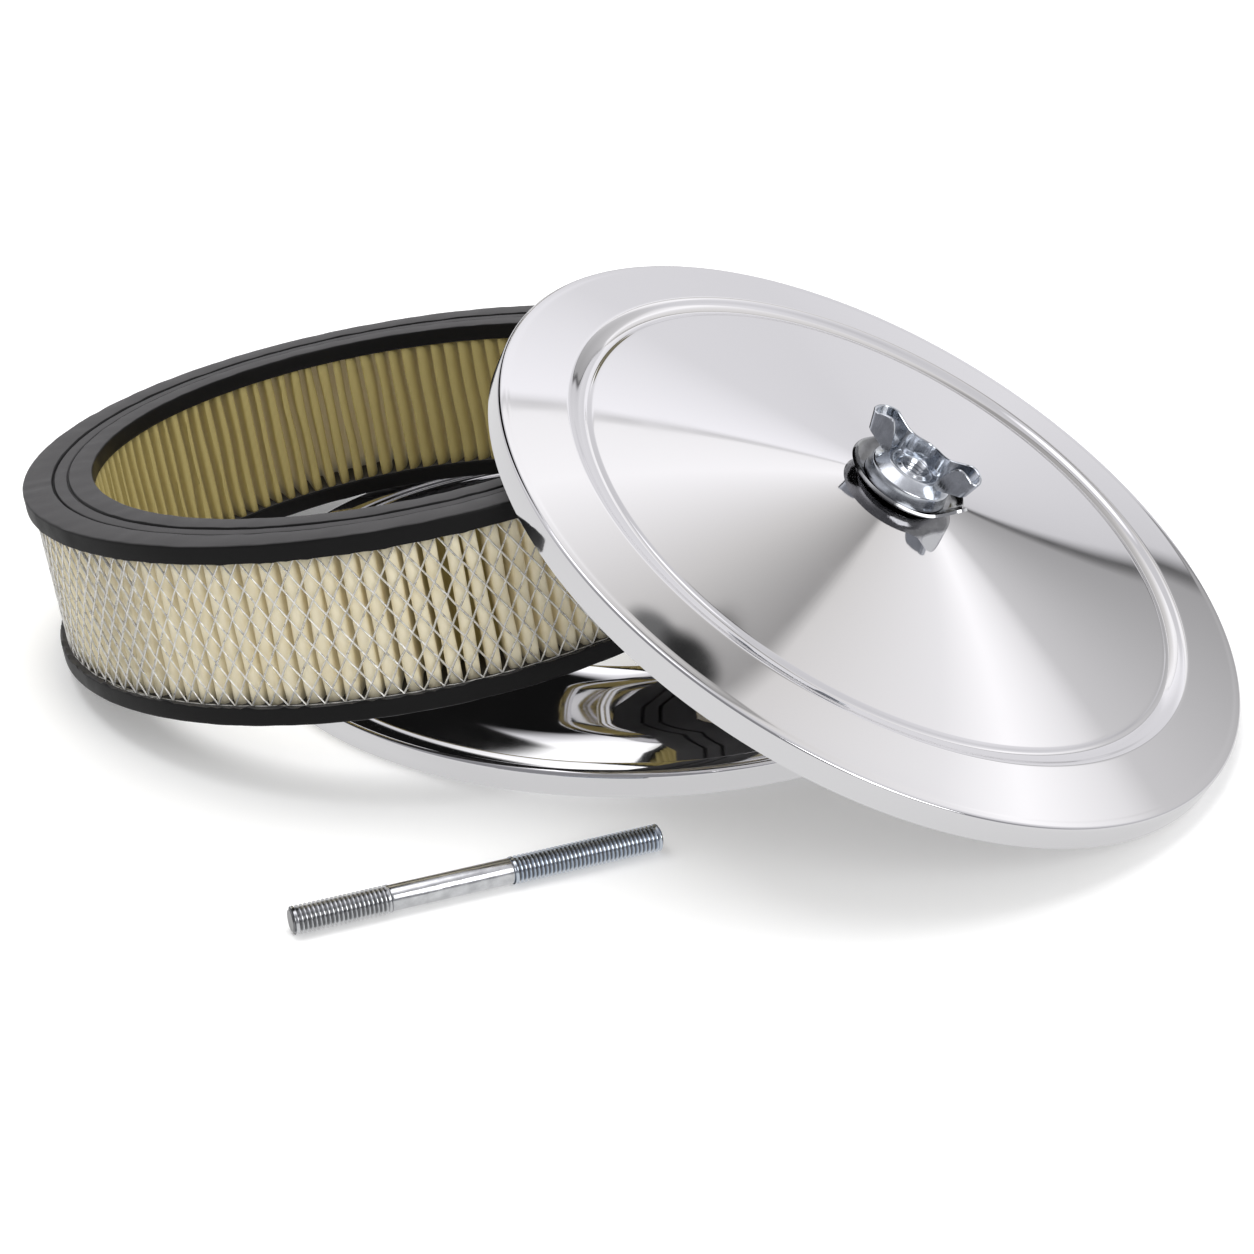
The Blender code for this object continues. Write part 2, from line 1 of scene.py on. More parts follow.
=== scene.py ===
"""Carburetor air cleaner, taken apart on a bench.

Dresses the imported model: chromed pan and lid, pleated filter ring with its diamond screen,
cup washer, stamped wing nut and threaded stud, in a pale studio. Lengths are in metres.
"""
import json
from math import atan2, cos, exp, hypot, pi, radians, sin, tau

import bmesh
import bpy
import numpy as np
from bpy.props import FloatProperty, FloatVectorProperty, IntProperty, PointerProperty
from mathutils import Matrix, Vector, noise


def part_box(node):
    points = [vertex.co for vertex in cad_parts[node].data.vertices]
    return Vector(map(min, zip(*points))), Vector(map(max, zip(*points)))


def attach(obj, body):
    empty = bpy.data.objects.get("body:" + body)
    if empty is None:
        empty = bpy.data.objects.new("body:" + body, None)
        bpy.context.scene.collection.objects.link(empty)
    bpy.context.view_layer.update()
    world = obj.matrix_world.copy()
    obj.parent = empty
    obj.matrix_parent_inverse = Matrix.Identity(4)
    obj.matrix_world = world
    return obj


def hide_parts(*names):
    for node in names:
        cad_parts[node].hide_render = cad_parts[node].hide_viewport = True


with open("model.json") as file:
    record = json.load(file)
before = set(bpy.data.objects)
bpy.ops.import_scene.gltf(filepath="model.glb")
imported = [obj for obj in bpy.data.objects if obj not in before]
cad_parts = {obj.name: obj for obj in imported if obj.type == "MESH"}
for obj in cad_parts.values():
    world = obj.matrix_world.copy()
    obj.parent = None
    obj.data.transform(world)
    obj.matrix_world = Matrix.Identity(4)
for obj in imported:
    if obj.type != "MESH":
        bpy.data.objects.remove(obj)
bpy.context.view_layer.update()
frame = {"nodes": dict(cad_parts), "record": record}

bl_info = {
    "name": "Air Cleaner",
    "version": (1, 0, 0),
    "blender": (4, 5, 0),
    "location": "View3D > Sidebar > Air Cleaner",
    "description": "Builds a chromed carburetor air cleaner, taken apart on a bench",
    "category": "Object",
}

FIXED_BODY = "air_cleaner"
NUT_BODY = "wing_nut_body"

# Camera, from the pan's centre on the bench
CAMERA_OFFSET = (0.00143, -0.76154, 0.37451)
CAMERA_PITCH = radians(63.403)
CAMERA_LENS = 70.82
SENSOR_WIDTH = 36.0

# Pan: inner edge of the seat, start and width of the rise, crown as radius and height, and neck
RIM_CLEARANCE = 0.0005
SEAT_EDGE = 0.1035
RISE_START = 0.1015
RISE_WIDTH = 0.0305
PAN_CROWN = (0.071, 0.013)
NECK_RADIUS = 0.0651
NECK_END = 0.0045

# Lid, as radius and height: shoulder, then step and ledge, then the hub and its hole
SHOULDER = ((0.1250, 0.0003), (0.1238, 0.00035), (0.1055, 0.0034))
LEDGE = ((0.1029, 0.0019), (0.0996, 0.0014), (0.0980, 0.0021))
HUB_RADIUS = 0.0165
HUB_HEIGHT = 0.0143
CENTRE_HOLE = 0.0055

# End seals: their grooves as shares of the width, and the flash of the lower and the upper one
GROOVE_SHARES = (0.35, 0.565)
FLASH_HEIGHTS = (0.0016, 0.0006)
SEAL_STEPS = 360

# The paper: its folds' bulge at the outer and inner bends, the pitches that they lean inside, and
# how far it stays inside the screen and outside the seals' inner edge
FOLD_BULGE = (1.2, 0.45)
FOLD_LEAN = 0.5
FOLD_SWAY = 0.0008
FOLD_UNEVENNESS = 0.0006
FOLD_SETBACK = 0.0003
PAPER_INSETS = (0.0009, 0.0014)
PAPER_TUCK = 0.0003
PAPER_SHEET = 0.0006

# The screen and the lap at its seam, the lap's place and width counted in diamonds; the sway's
# seed keeps noise_vector the same in each run
SWAY_SEED = 1
SCREEN_SWAY = 0.00022
STRAND = 0.00044
STRAND_RIDGE = 0.00022
SCREEN_SHEET = 0.00035
SCREEN_TUCK = 0.0002
LAP_START = 23.35
LAP_DIAMONDS = 5
LAP_HEIGHT = 0.0007

# Stud, its thread's depth as a share of the pitch
STUD_HEADING = radians(23.4)
SHORT_THREAD = 0.0281
LONG_THREAD = 0.0454
THREAD_DEPTH = 0.61
SHANK_RELIEF = 0.0003

# Cup washer and its ear
WASHER_SHEET = 0.0009
WASHER_CLEARANCE = 0.0006
EAR_HEADING = radians(-46)
EAR_SPREAD = radians(16)
EAR_REACH = 0.0030
EAR_RISE = 0.0056
REST_GAP = 0.0003

# The nut's hub
NUT_HEADING = radians(-31)
NUT_SHELL = 0.0012
SKIRT_HEIGHT = 0.0042
DECK_RADIUS = 0.0088
DECK_HEIGHT = 0.0066
EYE_RADIUS = 0.0049
EYE_SINK = 0.0012
BORE_SHARE = 0.86
PILOT_LENGTH = 0.0045

# The nut's folded strip
WING_SHEET = 0.0010
WING_RISE = 0.35
WING_HALF_WIDTH = 0.0036
WING_SKEW = 0.0016
WING_REACH = 0.0203
WING_FOOT = 0.0085
WING_TOP = 0.0165
WING_LEAN = 0.28
LEAF_ROOT = 0.0084
LEAF_FALL = 0.0014
LEAF_SHOULDER = 0.5
SADDLE_REACH = 0.0140
SADDLE_POWER = 1.5
WEB_TOP = 0.0118
WEB_BOW = 0.0042
EDGE_ROUND = 0.0002
EDGE_EASE = 0.22

# What the bright metal mirrors: levels by height, walls that follow each other round the patch of
# room that the lid faces, by turn in degrees, level and tint, and soft ovals as heading, rise,
# half width, half height (degrees), edge softness and tone
ROOM_HEIGHTS = ((0.0, 0.80), (0.22, 0.55), (0.42, 0.80), (0.60, 0.90), (0.78, 0.75), (0.93, 0.70),
                (0.97, 1.9), (1.0, 2.2))
ROOM_CENTRE = (36.0, 28.6)
ROOM_REACH = (24.0, 31.0)
COOL, PLAIN, WARM = (1.0, 0.992, 1.022), (1.0, 0.99, 1.0), (1.0, 0.98, 0.965)
ROOM_WALLS = (
    (-180, 0.84, COOL), (-146, 0.80, COOL), (-118, 0.86, COOL), (-91, 0.72, COOL), (-87, 0.10, PLAIN),
    (-83, 0.42, PLAIN), (-60, 0.52, PLAIN), (-14, 0.70, PLAIN), (-6, 0.94, PLAIN), (12, 1.24, PLAIN),
    (24, 1.00, PLAIN), (52, 0.80, WARM), (56, 0.38, WARM), (80, 0.72, WARM), (118, 1.16, PLAIN),
    (138, 1.08, PLAIN), (140, 0.66, PLAIN), (143, 1.10, COOL), (165, 0.96, COOL), (180, 0.84, COOL),
)
PANELS = (
    (180.0, 25.0, 75.0, 34.0, 0.5, (0.27, 0.27, 0.285)),
    (-180.0, 25.0, 75.0, 34.0, 0.5, (0.27, 0.27, 0.285)),
    (43.0, 50.8, 2.4, 1.0, 0.45, (0.16, 0.16, 0.16)),
    (46.4, 50.0, 2.8, 1.2, 0.40, (0.03, 0.03, 0.03)),
    (-0.8, 31.0, 2.6, 9.0, 0.40, (1.4, 1.4, 1.4)),
    (-32.0, 52.0, 30.0, 28.0, 0.08, (0.006, 0.006, 0.006)),
    (-14.0, 30.0, 11.6, 10.0, 0.05, (0.006, 0.006, 0.006)),
    (4.4, 31.0, 3.5, 8.0, 0.16, (0.20, 0.18, 0.12)),
)

# Studio: the floor's shade, bare and as the metal mirrors it, its glow to the metal and to the
# camera from near to far, and the lamps as name, place, size, power and whether they are mirrored
FILL_LIGHT = 0.62
FLOOR_SIZE = 40.0
FLOOR_SHADE = 0.86
MIRRORED_SHADE = 0.10
MIRRORED_GLOW = 0.68
CAMERA_GLOW = (0.22, 0.62)
GLOW_REACH = (0.7, 2.2)
LAMPS = (
    ("overhead_lamp", (-0.2, 0.3, 1.3), (1.2, 1.0), 14.0, False),
    ("front_lamp", (0.9, -1.1, 0.9), (0.8, 0.8), 7.0, True),
)


class CoverSizes(bpy.types.PropertyGroup):
    """Sizes of the pressed lid and pan."""
    radius: FloatProperty(name="Radius", description="Outer radius of the lid and the pan",
                          default=0.127, unit='LENGTH')
    sheet: FloatProperty(name="Sheet", description="Thickness of the pressed sheet",
                         default=0.001, unit='LENGTH')
    lip_height: FloatProperty(name="Lid lip", description="Height of the lid's lip",
                              default=0.0078, unit='LENGTH')
    rim_height: FloatProperty(name="Pan rim", description="Height of the pan's rim",
                              default=0.0082, unit='LENGTH')
    seat_height: FloatProperty(name="Seat", description="Height of the pan's filter seat",
                               default=0.004, unit='LENGTH')
    round_steps: IntProperty(name="Steps", description="Steps round each pressing", default=288, min=24)


class FilterSizes(bpy.types.PropertyGroup):
    """Sizes of the filter ring."""
    outer_radius: FloatProperty(name="Outer radius", description="Outer radius of the end seals",
                                default=0.1185, unit='LENGTH')
    inner_radius: FloatProperty(name="Inner radius", description="Inner radius of the end seals",
                                default=0.096, unit='LENGTH')
    height: FloatProperty(name="Height", description="Height of the whole ring",
                          default=0.0573, unit='LENGTH')
    seal_height: FloatProperty(name="Seal height", description="Height of one end seal",
                               default=0.0057, unit='LENGTH')
    screen_radius: FloatProperty(name="Screen radius", description="Inner radius of the diamond screen",
                                 default=0.1156, unit='LENGTH')
    pleats: IntProperty(name="Pleats", description="Number of folds in the paper", default=118, min=8)
    diamonds: IntProperty(name="Diamonds", description="Diamonds round the screen", default=124, min=8)
    diamond_rows: IntProperty(name="Diamond rows", description="Diamonds up the screen", default=5, min=1)


class HardwareSizes(bpy.types.PropertyGroup):
    """Sizes of the stud, the cup washer and the wing nut."""
    stud_length: FloatProperty(name="Stud length", description="Length of the stud",
                               default=0.1095, unit='LENGTH')
    thread_radius: FloatProperty(name="Thread radius", description="Outer radius of the stud's threads",
                                 default=0.004, unit='LENGTH')
    pitch: FloatProperty(name="Pitch", description="Thread pitch", default=0.00125, unit='LENGTH')
    washer_radius: FloatProperty(name="Washer radius", description="Rim radius of the cup washer",
                                 default=0.0184, unit='LENGTH')
    skirt_radius: FloatProperty(name="Skirt radius", description="Skirt radius of the wing nut",
                                default=0.0136, unit='LENGTH')


class Finishes(bpy.types.PropertyGroup):
    """Colours of the finishes."""
    chrome: FloatVectorProperty(name="Chrome", description="Colour of the plated pressings", subtype='COLOR',
                                default=(0.80, 0.795, 0.81), min=0, max=1)
    rubber: FloatVectorProperty(name="Seal rubber", description="Colour of the moulded end seals",
                                subtype='COLOR', default=(0.008, 0.0078, 0.008), min=0, max=1)
    paper_outside: FloatVectorProperty(name="Paper outside", description="Paper colour on the outer folds",
                                       subtype='COLOR', default=(0.85, 0.78, 0.59), min=0, max=1)
    paper_inside: FloatVectorProperty(name="Paper inside", description="Paper colour on the inner folds",
                                      subtype='COLOR', default=(0.47, 0.39, 0.16), min=0, max=1)
    screen: FloatVectorProperty(name="Screen", description="Colour of the diamond screen", subtype='COLOR',
                                default=(0.94, 0.93, 0.90), min=0, max=1)
    zinc: FloatVectorProperty(name="Zinc", description="Colour of the plated fixings", subtype='COLOR',
                              default=(0.74, 0.75, 0.77), min=0, max=1)


def settings():
    """The scene's own property groups."""
    scene = bpy.context.scene
    return scene.cleaner_covers, scene.cleaner_filter, scene.cleaner_hardware, scene.cleaner_finishes


def node_points(name):
    """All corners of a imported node, in the row frame."""
    mesh = frame["nodes"][name].data
    points = np.empty(len(mesh.vertices) * 3)
    mesh.vertices.foreach_get("co", points)
    return points.reshape(-1, 3)


def leaning_frame(axis, origin):
    """Matrix of a turned piece whose axis leans over, its X pointing down the slope."""
    up = Vector(axis).normalized()
    heading = atan2(up.y, up.x)
    across = Vector((-sin(heading), cos(heading), 0))
    return Matrix.Translation(origin) @ Matrix((across.cross(up), across, up)).transposed().to_4x4()


def pan_frame():
    """The pan's place: its centre, on the bench."""
    low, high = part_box("base_pan")
    return Matrix.Translation(((low[0] + high[0]) / 2, (low[1] + high[1]) / 2, 0))


def filter_frame():
    """The filter ring's place: the centre of its lower face, with its axis up."""
    bottom = node_points("bottom_seal")
    axis = node_points("top_seal").mean(0) - bottom.mean(0)
    axis /= np.linalg.norm(axis)
    centre = bottom.mean(0)
    centre = centre + axis * ((bottom @ axis).min() - centre @ axis)
    return leaning_frame(axis, centre)


def nut_frame():
    """The wing nut's place, on its joint's axis."""
    joint = frame["record"]["behaviour"]["joints"][0]
    return leaning_frame(joint["axis"], joint["pos_m"])


def lid_frame(lip_height):
    """The lid's place: on the nut's axis, at the top of its lip."""
    axis = Vector(frame["record"]["behaviour"]["joints"][0]["axis"])
    centre = Vector(frame["record"]["behaviour"]["joints"][0]["pos_m"])
    lowest = (node_points("lid") @ np.array(axis)).min()
    centre += axis * (lowest + lip_height - centre.dot(axis))
    return leaning_frame(axis, centre)


def rounded(outline, radii, steps=6):
    """Outline with its inner corners eased by short curves."""
    points = [Vector(p) for p in outline]
    eased = [points[0]]
    for before, corner, after, radius in zip(points, points[1:], points[2:], radii[1:]):
        if radius <= 0:
            eased.append(corner)
            continue
        reach = min(radius, (before - corner).length * 0.49, (after - corner).length * 0.49)
        start = corner + (before - corner).normalized() * reach
        end = corner + (after - corner).normalized() * reach
        for i in range(steps + 1):
            t = i / steps
            eased.append(start * (1 - t) ** 2 + corner * 2 * t * (1 - t) + end * t ** 2)
    eased.append(points[-1])
    return [tuple(p) for p in eased]


def sheet_section(outline, thickness):
    """Closed section of a pressed sheet below the outline of its upper side."""
    points = np.array(outline, float)
    steps = np.diff(points, axis=0)
    steps /= np.linalg.norm(steps, axis=1)[:, None]
    normals = np.stack([-steps[:, 1], steps[:, 0]], 1)
    before = np.vstack([normals[:1], normals])
    after = np.vstack([normals, normals[-1:]])
    bisector = before + after
    bisector /= np.linalg.norm(bisector, axis=1)[:, None]
    reach = thickness / (bisector * after).sum(1)
    return np.vstack([points, (points + bisector * reach[:, None])[::-1]])


def new_piece(name, builder, material, place, body, replaced, smooth_angle=40):
    """Finish a bmesh as a named piece that rides on a body."""
    bmesh.ops.remove_doubles(builder, verts=builder.verts, dist=1e-7)
    bmesh.ops.recalc_face_normals(builder, faces=builder.faces)
    mesh = bpy.data.meshes.new(name)
    builder.to_mesh(mesh)
    builder.free()
    mesh.shade_smooth()
    mesh.set_sharp_from_angle(angle=radians(smooth_angle))
    mesh.materials.append(material)
    piece = bpy.data.objects.new(name, mesh)
    bpy.context.collection.objects.link(piece)
    piece.matrix_world = place
    bpy.context.view_layer.update()
    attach(piece, body)
    if replaced:
        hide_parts(replaced)
    return piece


def turned(section, steps, closed=True):
    """Spin a section of radius and height pairs about the upright axis."""
    builder = bmesh.new()
    verts = [builder.verts.new((r, 0.0, h)) for r, h in section]
    pairs = list(zip(verts, verts[1:]))
    if closed:
        pairs.append((verts[-1], verts[0]))
    edges = [builder.edges.new(pair) for pair in pairs]
    bmesh.ops.spin(builder, geom=verts + edges, cent=(0, 0, 0), axis=(0, 0, 1), angle=tau, steps=steps,
                   use_merge=True)
    return builder


class Nodes:
    """Small helper that lays out the node tree of a material or a world."""

    def __init__(self, owner):
        owner.use_nodes = True
        self.owner = owner
        self.tree = owner.node_tree
        self.shader = self.tree.nodes.get("Principled BSDF")

    def add(self, kind, **values):
        """Add a node; keys are its settings or, where it has no such setting, its inputs."""
        node = self.tree.nodes.new(kind)
        for key, value in values.items():
            if hasattr(node, key):
                setattr(node, key, value)
            else:
                node.inputs[key.replace("_", " ")].default_value = value
        return node

    def link(self, start, end):
        """Join an output to an input."""
        self.tree.links.new(start, end)

    def math(self, operation, *values):
        """Work out a sum of plain numbers and outputs."""
        node = self.add("ShaderNodeMath", operation=operation)
        for value, place in zip(values, node.inputs):
            if hasattr(value, "is_output"):
                self.link(value, place)
            else:
                place.default_value = value
        return node.outputs[0]

    def spread(self, source, low, high, start=0.0, end=1.0, smooth=False):
        """Map a factor onto a range."""
        node = self.add("ShaderNodeMapRange", interpolation_type='SMOOTHSTEP' if smooth else 'LINEAR')
        node.inputs["From Min"].default_value = start
        node.inputs["From Max"].default_value = end
        node.inputs["To Min"].default_value = low
        node.inputs["To Max"].default_value = high
        self.link(source, node.inputs["Value"])
        return node.outputs["Result"]

    def mix(self, factor, first, second):
        """Mix two colours; either may be a plain colour or an output."""
        node = self.add("ShaderNodeMix", data_type='RGBA')
        self.link(factor, node.inputs["Factor"])
        for value, place in ((first, 6), (second, 7)):
            if hasattr(value, "is_output"):
                self.link(value, node.inputs[place])
            else:
                node.inputs[place].default_value = (*value[:3], 1.0)
        return node.outputs[2]

    def radius(self, place):
        """Distance of a place from the upright axis."""
        flat = self.add("ShaderNodeVectorMath", operation='MULTIPLY')
        self.link(place, flat.inputs[0])
        flat.inputs[1].default_value = (1, 1, 0)
        reach = self.add("ShaderNodeVectorMath", operation='LENGTH')
        self.link(flat.outputs["Vector"], reach.inputs[0])
        return reach.outputs["Value"]

    def bump(self, height, strength, distance):
        """Bump the surface from a height."""
        node = self.add("ShaderNodeBump")
        node.inputs["Strength"].default_value = strength
        node.inputs["Distance"].default_value = distance
        self.link(height, node.inputs["Height"])
        self.link(node.outputs["Normal"], self.shader.inputs["Normal"])


def chrome_finish(name, colour):
    """Mirror-bright plating with the faint unevenness of a polished pressing."""
    nodes = Nodes(bpy.data.materials.new(name))
    place = nodes.add("ShaderNodeTexCoord").outputs["Object"]
    sway = nodes.add("ShaderNodeTexNoise", Scale=9.0, Detail=2.0)
    haze = nodes.add("ShaderNodeTexNoise", Scale=60.0, Detail=5.0)
    nodes.link(place, sway.inputs["Vector"])
    nodes.link(place, haze.inputs["Vector"])
    nodes.shader.inputs["Base Color"].default_value = (*colour, 1.0)
    nodes.shader.inputs["Metallic"].default_value = 1.0
    nodes.link(nodes.spread(haze.outputs["Fac"], 0.025, 0.07, 0.3, 0.75), nodes.shader.inputs["Roughness"])
    nodes.bump(sway.outputs["Fac"], 0.25, 0.0004)
    return nodes.owner


def zinc_finish(name, colour, shine, tint=None, roots=None):
    """Bright zinc plate; tint is the colour of one end and its height, roots the radii between which painted
    shade in the thread roots fades out.
    """
    nodes = Nodes(bpy.data.materials.new(name))
    place = nodes.add("ShaderNodeTexCoord").outputs["Object"]
    drawn = nodes.add("ShaderNodeMapping")
    drawn.inputs["Scale"].default_value = (4000.0, 700.0, 250.0)
    nodes.link(place, drawn.inputs["Vector"])
    lines = nodes.add("ShaderNodeTexNoise", Scale=1.0, Detail=3.0)
    nodes.link(drawn.outputs["Vector"], lines.inputs["Vector"])
    cloud = nodes.add("ShaderNodeTexNoise", Scale=260.0, Detail=4.0)
    nodes.link(place, cloud.inputs["Vector"])
    shade = tuple(c * 0.78 for c in colour)
    colour_out = nodes.mix(nodes.spread(cloud.outputs["Fac"], 0.0, 1.0, 0.35, 0.65), shade, colour)
    if tint:
        apart = nodes.add("ShaderNodeSeparateXYZ")
        nodes.link(place, apart.inputs["Vector"])
        end = nodes.spread(apart.outputs["Z"], 0.0, 1.0, tint[1], tint[1] + 0.001)
        colour_out = nodes.mix(end, colour_out, tint[0])
    # Painted shade: below the root radius the plate is 0.3 as bright, fading to full towards the outer radius
    # given.
    if roots:
        crest = nodes.spread(nodes.radius(place), 0.0, 1.0, *roots)
        colour_out = nodes.mix(crest, tuple(c * 0.30 for c in colour), colour_out)
    nodes.link(colour_out, nodes.shader.inputs["Base Color"])
    nodes.shader.inputs["Metallic"].default_value = 1.0
    nodes.link(nodes.spread(lines.outputs["Fac"], *shine, 0.3, 0.7), nodes.shader.inputs["Roughness"])
    nodes.bump(lines.outputs["Fac"], 0.10, 0.0001)
    return nodes.owner


def rubber_finish(name, colour):
    """Matt moulded rubber with a fine grain; its end faces are painted paler as a sheen, patchy with scuff
    noise, its sides plain.
    """
    nodes = Nodes(bpy.data.materials.new(name))
    place = nodes.add("ShaderNodeTexCoord").outputs["Object"]
    grain = nodes.add("ShaderNodeTexNoise", Scale=2600.0, Detail=2.0)
    scuff = nodes.add("ShaderNodeTexNoise", Scale=55.0, Detail=7.0, Roughness=0.62)
    for texture in (grain, scuff):
        nodes.link(place, texture.inputs["Vector"])
    apart = nodes.add("ShaderNodeSeparateXYZ")
    nodes.link(nodes.add("ShaderNodeTexCoord").outputs["Normal"], apart.inputs["Vector"])
    # Painted sheen: faces that look along the axis are up to nine times paler than the sides, patchy with the
    # scuff noise.
    face = nodes.spread(nodes.math('ABSOLUTE', apart.outputs["Z"]), 0.0, 1.0, 0.6, 0.98)
    worn = nodes.spread(scuff.outputs["Fac"], 0.7, 1.0, 0.40, 0.70)
    painted_sheen = tuple(c * 9.0 for c in colour)
    sheened_colour = nodes.mix(nodes.math('MULTIPLY', face, worn), colour, painted_sheen)
    nodes.link(sheened_colour, nodes.shader.inputs["Base Color"])
    nodes.link(nodes.spread(scuff.outputs["Fac"], 0.34, 0.52, 0.35, 0.7), nodes.shader.inputs["Roughness"])
    nodes.shader.inputs["Specular IOR Level"].default_value = 0.13
    nodes.bump(grain.outputs["Fac"], 0.22, 0.0001)
    return nodes.owner


def paper_finish(name, outside, inside, inner_radius):
    """Resin-treated paper, cream on the outer folds and olive in the depth of the ring, with a faint painted
    glow.
    """
    nodes = Nodes(bpy.data.materials.new(name))
    place = nodes.add("ShaderNodeTexCoord").outputs["Object"]
    depth = nodes.spread(nodes.radius(place), 0.0, 1.0, inner_radius + 0.001, inner_radius + 0.009)
    fibre = nodes.add("ShaderNodeTexNoise", Scale=1500.0, Detail=4.0)
    cloud = nodes.add("ShaderNodeTexNoise", Scale=70.0, Detail=3.0)
    for texture in (fibre, cloud):
        nodes.link(place, texture.inputs["Vector"])
    warm = tuple(c * f for c, f in zip(outside, (0.94, 0.91, 0.84)))
    clouded = nodes.mix(nodes.spread(cloud.outputs["Fac"], 0.0, 1.0, 0.45, 0.75), outside, warm)
    base = nodes.mix(depth, inside, clouded)
    nodes.link(base, nodes.shader.inputs["Base Color"])
    # Painted light: the paper glows faintly in its own colour, lifting its shaded folds.
    nodes.link(base, nodes.shader.inputs["Emission Color"])
    nodes.shader.inputs["Emission Strength"].default_value = 0.05
    nodes.shader.inputs["Roughness"].default_value = 0.8
    nodes.shader.inputs["Specular IOR Level"].default_value = 0.25
    nodes.bump(fibre.outputs["Fac"], 0.25, 0.0001)
    return nodes.owner


def screen_finish(name, colour):
    """Bright expanded sheet, a little duller where it was cut."""
    nodes = Nodes(bpy.data.materials.new(name))
    place = nodes.add("ShaderNodeTexCoord").outputs["Object"]
    cloud = nodes.add("ShaderNodeTexNoise", Scale=420.0, Detail=3.0)
    nodes.link(place, cloud.inputs["Vector"])
    shade = tuple(c * 0.7 for c in colour)
    nodes.link(nodes.mix(nodes.spread(cloud.outputs["Fac"], 0.0, 1.0, 0.35, 0.65), shade, colour),
               nodes.shader.inputs["Base Color"])
    nodes.shader.inputs["Metallic"].default_value = 0.5
    nodes.link(nodes.spread(cloud.outputs["Fac"], 0.22, 0.40, 0.3, 0.7), nodes.shader.inputs["Roughness"])
    nodes.bump(cloud.outputs["Fac"], 0.2, 0.0001)
    return nodes.owner


class CLEANER_OT_pan(bpy.types.Operator):
    """Pressed pan: turned-down rim, recessed seat, smooth dish and turned-down neck."""
    bl_idname = "cleaner.pan"
    bl_label = "Pan"

    def execute(self, context):
        covers, ring, _, finishes = settings()
        rim, seat = covers.rim_height, covers.seat_height
        wall = ring.outer_radius + RIM_CLEARANCE
        crown, crown_height = PAN_CROWN
        outline = [(covers.radius, 0.0), (covers.radius, rim), (wall, rim - 0.0003), (wall, seat),
                   (SEAT_EDGE, seat)]
        radii = [0, 0.0024, 0.0016, 0.0016, 0.006]
        for share in (0.2, 0.4, 0.6, 0.8):
            outline.append((RISE_START - share * RISE_WIDTH,
                            seat + (crown_height - seat) * (1 - cos(pi * share)) / 2))
            radii.append(0.004)
        outline += [(crown, crown_height), (NECK_RADIUS, crown_height), (NECK_RADIUS, NECK_END)]
        radii += [0.003, 0.003, 0]
        section = sheet_section(rounded(outline, radii, 8), covers.sheet)
        new_piece("chromed_pan", turned(section, covers.round_steps),
                  chrome_finish("pan_chrome", finishes.chrome), pan_frame(), FIXED_BODY, "base_pan")
        return {'FINISHED'}


class CLEANER_OT_lid(bpy.types.Operator):
    """Pressed lid: lip, sloping shoulder, small step, ledge and a true cone up to a flat hub."""
    bl_idname = "cleaner.lid"
    bl_label = "Lid"

    def execute(self, context):
        covers, _, _, finishes = settings()
        outline = [(covers.radius, -covers.lip_height), (covers.radius, 0.0), *SHOULDER, *LEDGE,
                   (HUB_RADIUS, HUB_HEIGHT), (CENTRE_HOLE, HUB_HEIGHT)]
        radii = [0, 0.0020, 0.0008, 0.0012, 0.0013, 0.0012, 0.0010, 0.0010, 0.006, 0]
        section = sheet_section(rounded(outline, radii, 7), covers.sheet)
        new_piece("chromed_lid", turned(section, covers.round_steps),
                  chrome_finish("lid_chrome", finishes.chrome), lid_frame(covers.lip_height),
                  FIXED_BODY, "lid")
        return {'FINISHED'}


def seal_ring(name, lower, material):
    """One moulded end ring, grooved face outwards, with a thin ragged flash at its inner joint."""
    _, ring, _, _ = settings()
    outer, inner, height = ring.outer_radius, ring.inner_radius, ring.seal_height
    first, second = (inner + share * (outer - inner) for share in GROOVE_SHARES)
    flash = FLASH_HEIGHTS[0] if lower else FLASH_HEIGHTS[1]
    outline = [(inner + 0.0004, height), (inner, height - 0.0006), (inner, 0.0), (first - 0.0005, 0.0),
               (first, 0.0010), (first + 0.0006, 0.0003), (second - 0.0006, 0.0003), (second, 0.0012),
               (second + 0.0005, 0.0), (outer, 0.0), (outer, height), (outer - 0.0008, height),
               (outer - 0.0022, height - 0.0003)]
    radii = [0, 0.0005, 0.0007, 0.0003, 0.0003, 0.0003, 0.0003, 0.0003, 0.0003, 0.0009, 0.0006, 0, 0]
    builder = turned(rounded(outline, radii, 4), SEAL_STEPS)
    for vert in builder.verts:
        r = hypot(vert.co.x, vert.co.y)
        bend = noise.noise(Vector((vert.co.x, vert.co.y, 0.3 if lower else 5.0)) * 160)
        if vert.co.z > height - 0.0001 and r > outer - 0.0020:
            ragged = noise.noise(Vector((vert.co.x, vert.co.y, 2.0)) * 900)
            vert.co.z += max(0.0, ragged) * flash
        if vert.co.z < 0.0001:
            vert.co.z += 0.00012 * bend
        vert.co.z += 0.0001 * bend
    place = filter_frame()
    if not lower:
        place = place @ Matrix.Translation((0, 0, ring.height)) @ Matrix.Rotation(pi, 4, 'X')
    new_piece("lower_end_seal" if lower else "upper_end_seal", builder, material, place, FIXED_BODY,
              name, 35)


class CLEANER_OT_seals(bpy.types.Operator):
    """The two moulded end seals of the filter ring."""
    bl_idname = "cleaner.seals"
    bl_label = "End seals"

    def execute(self, context):
        material = rubber_finish("seal_rubber", settings()[3].rubber)
        seal_ring("bottom_seal", True, material)
        seal_ring("top_seal", False, material)
        return {'FINISHED'}


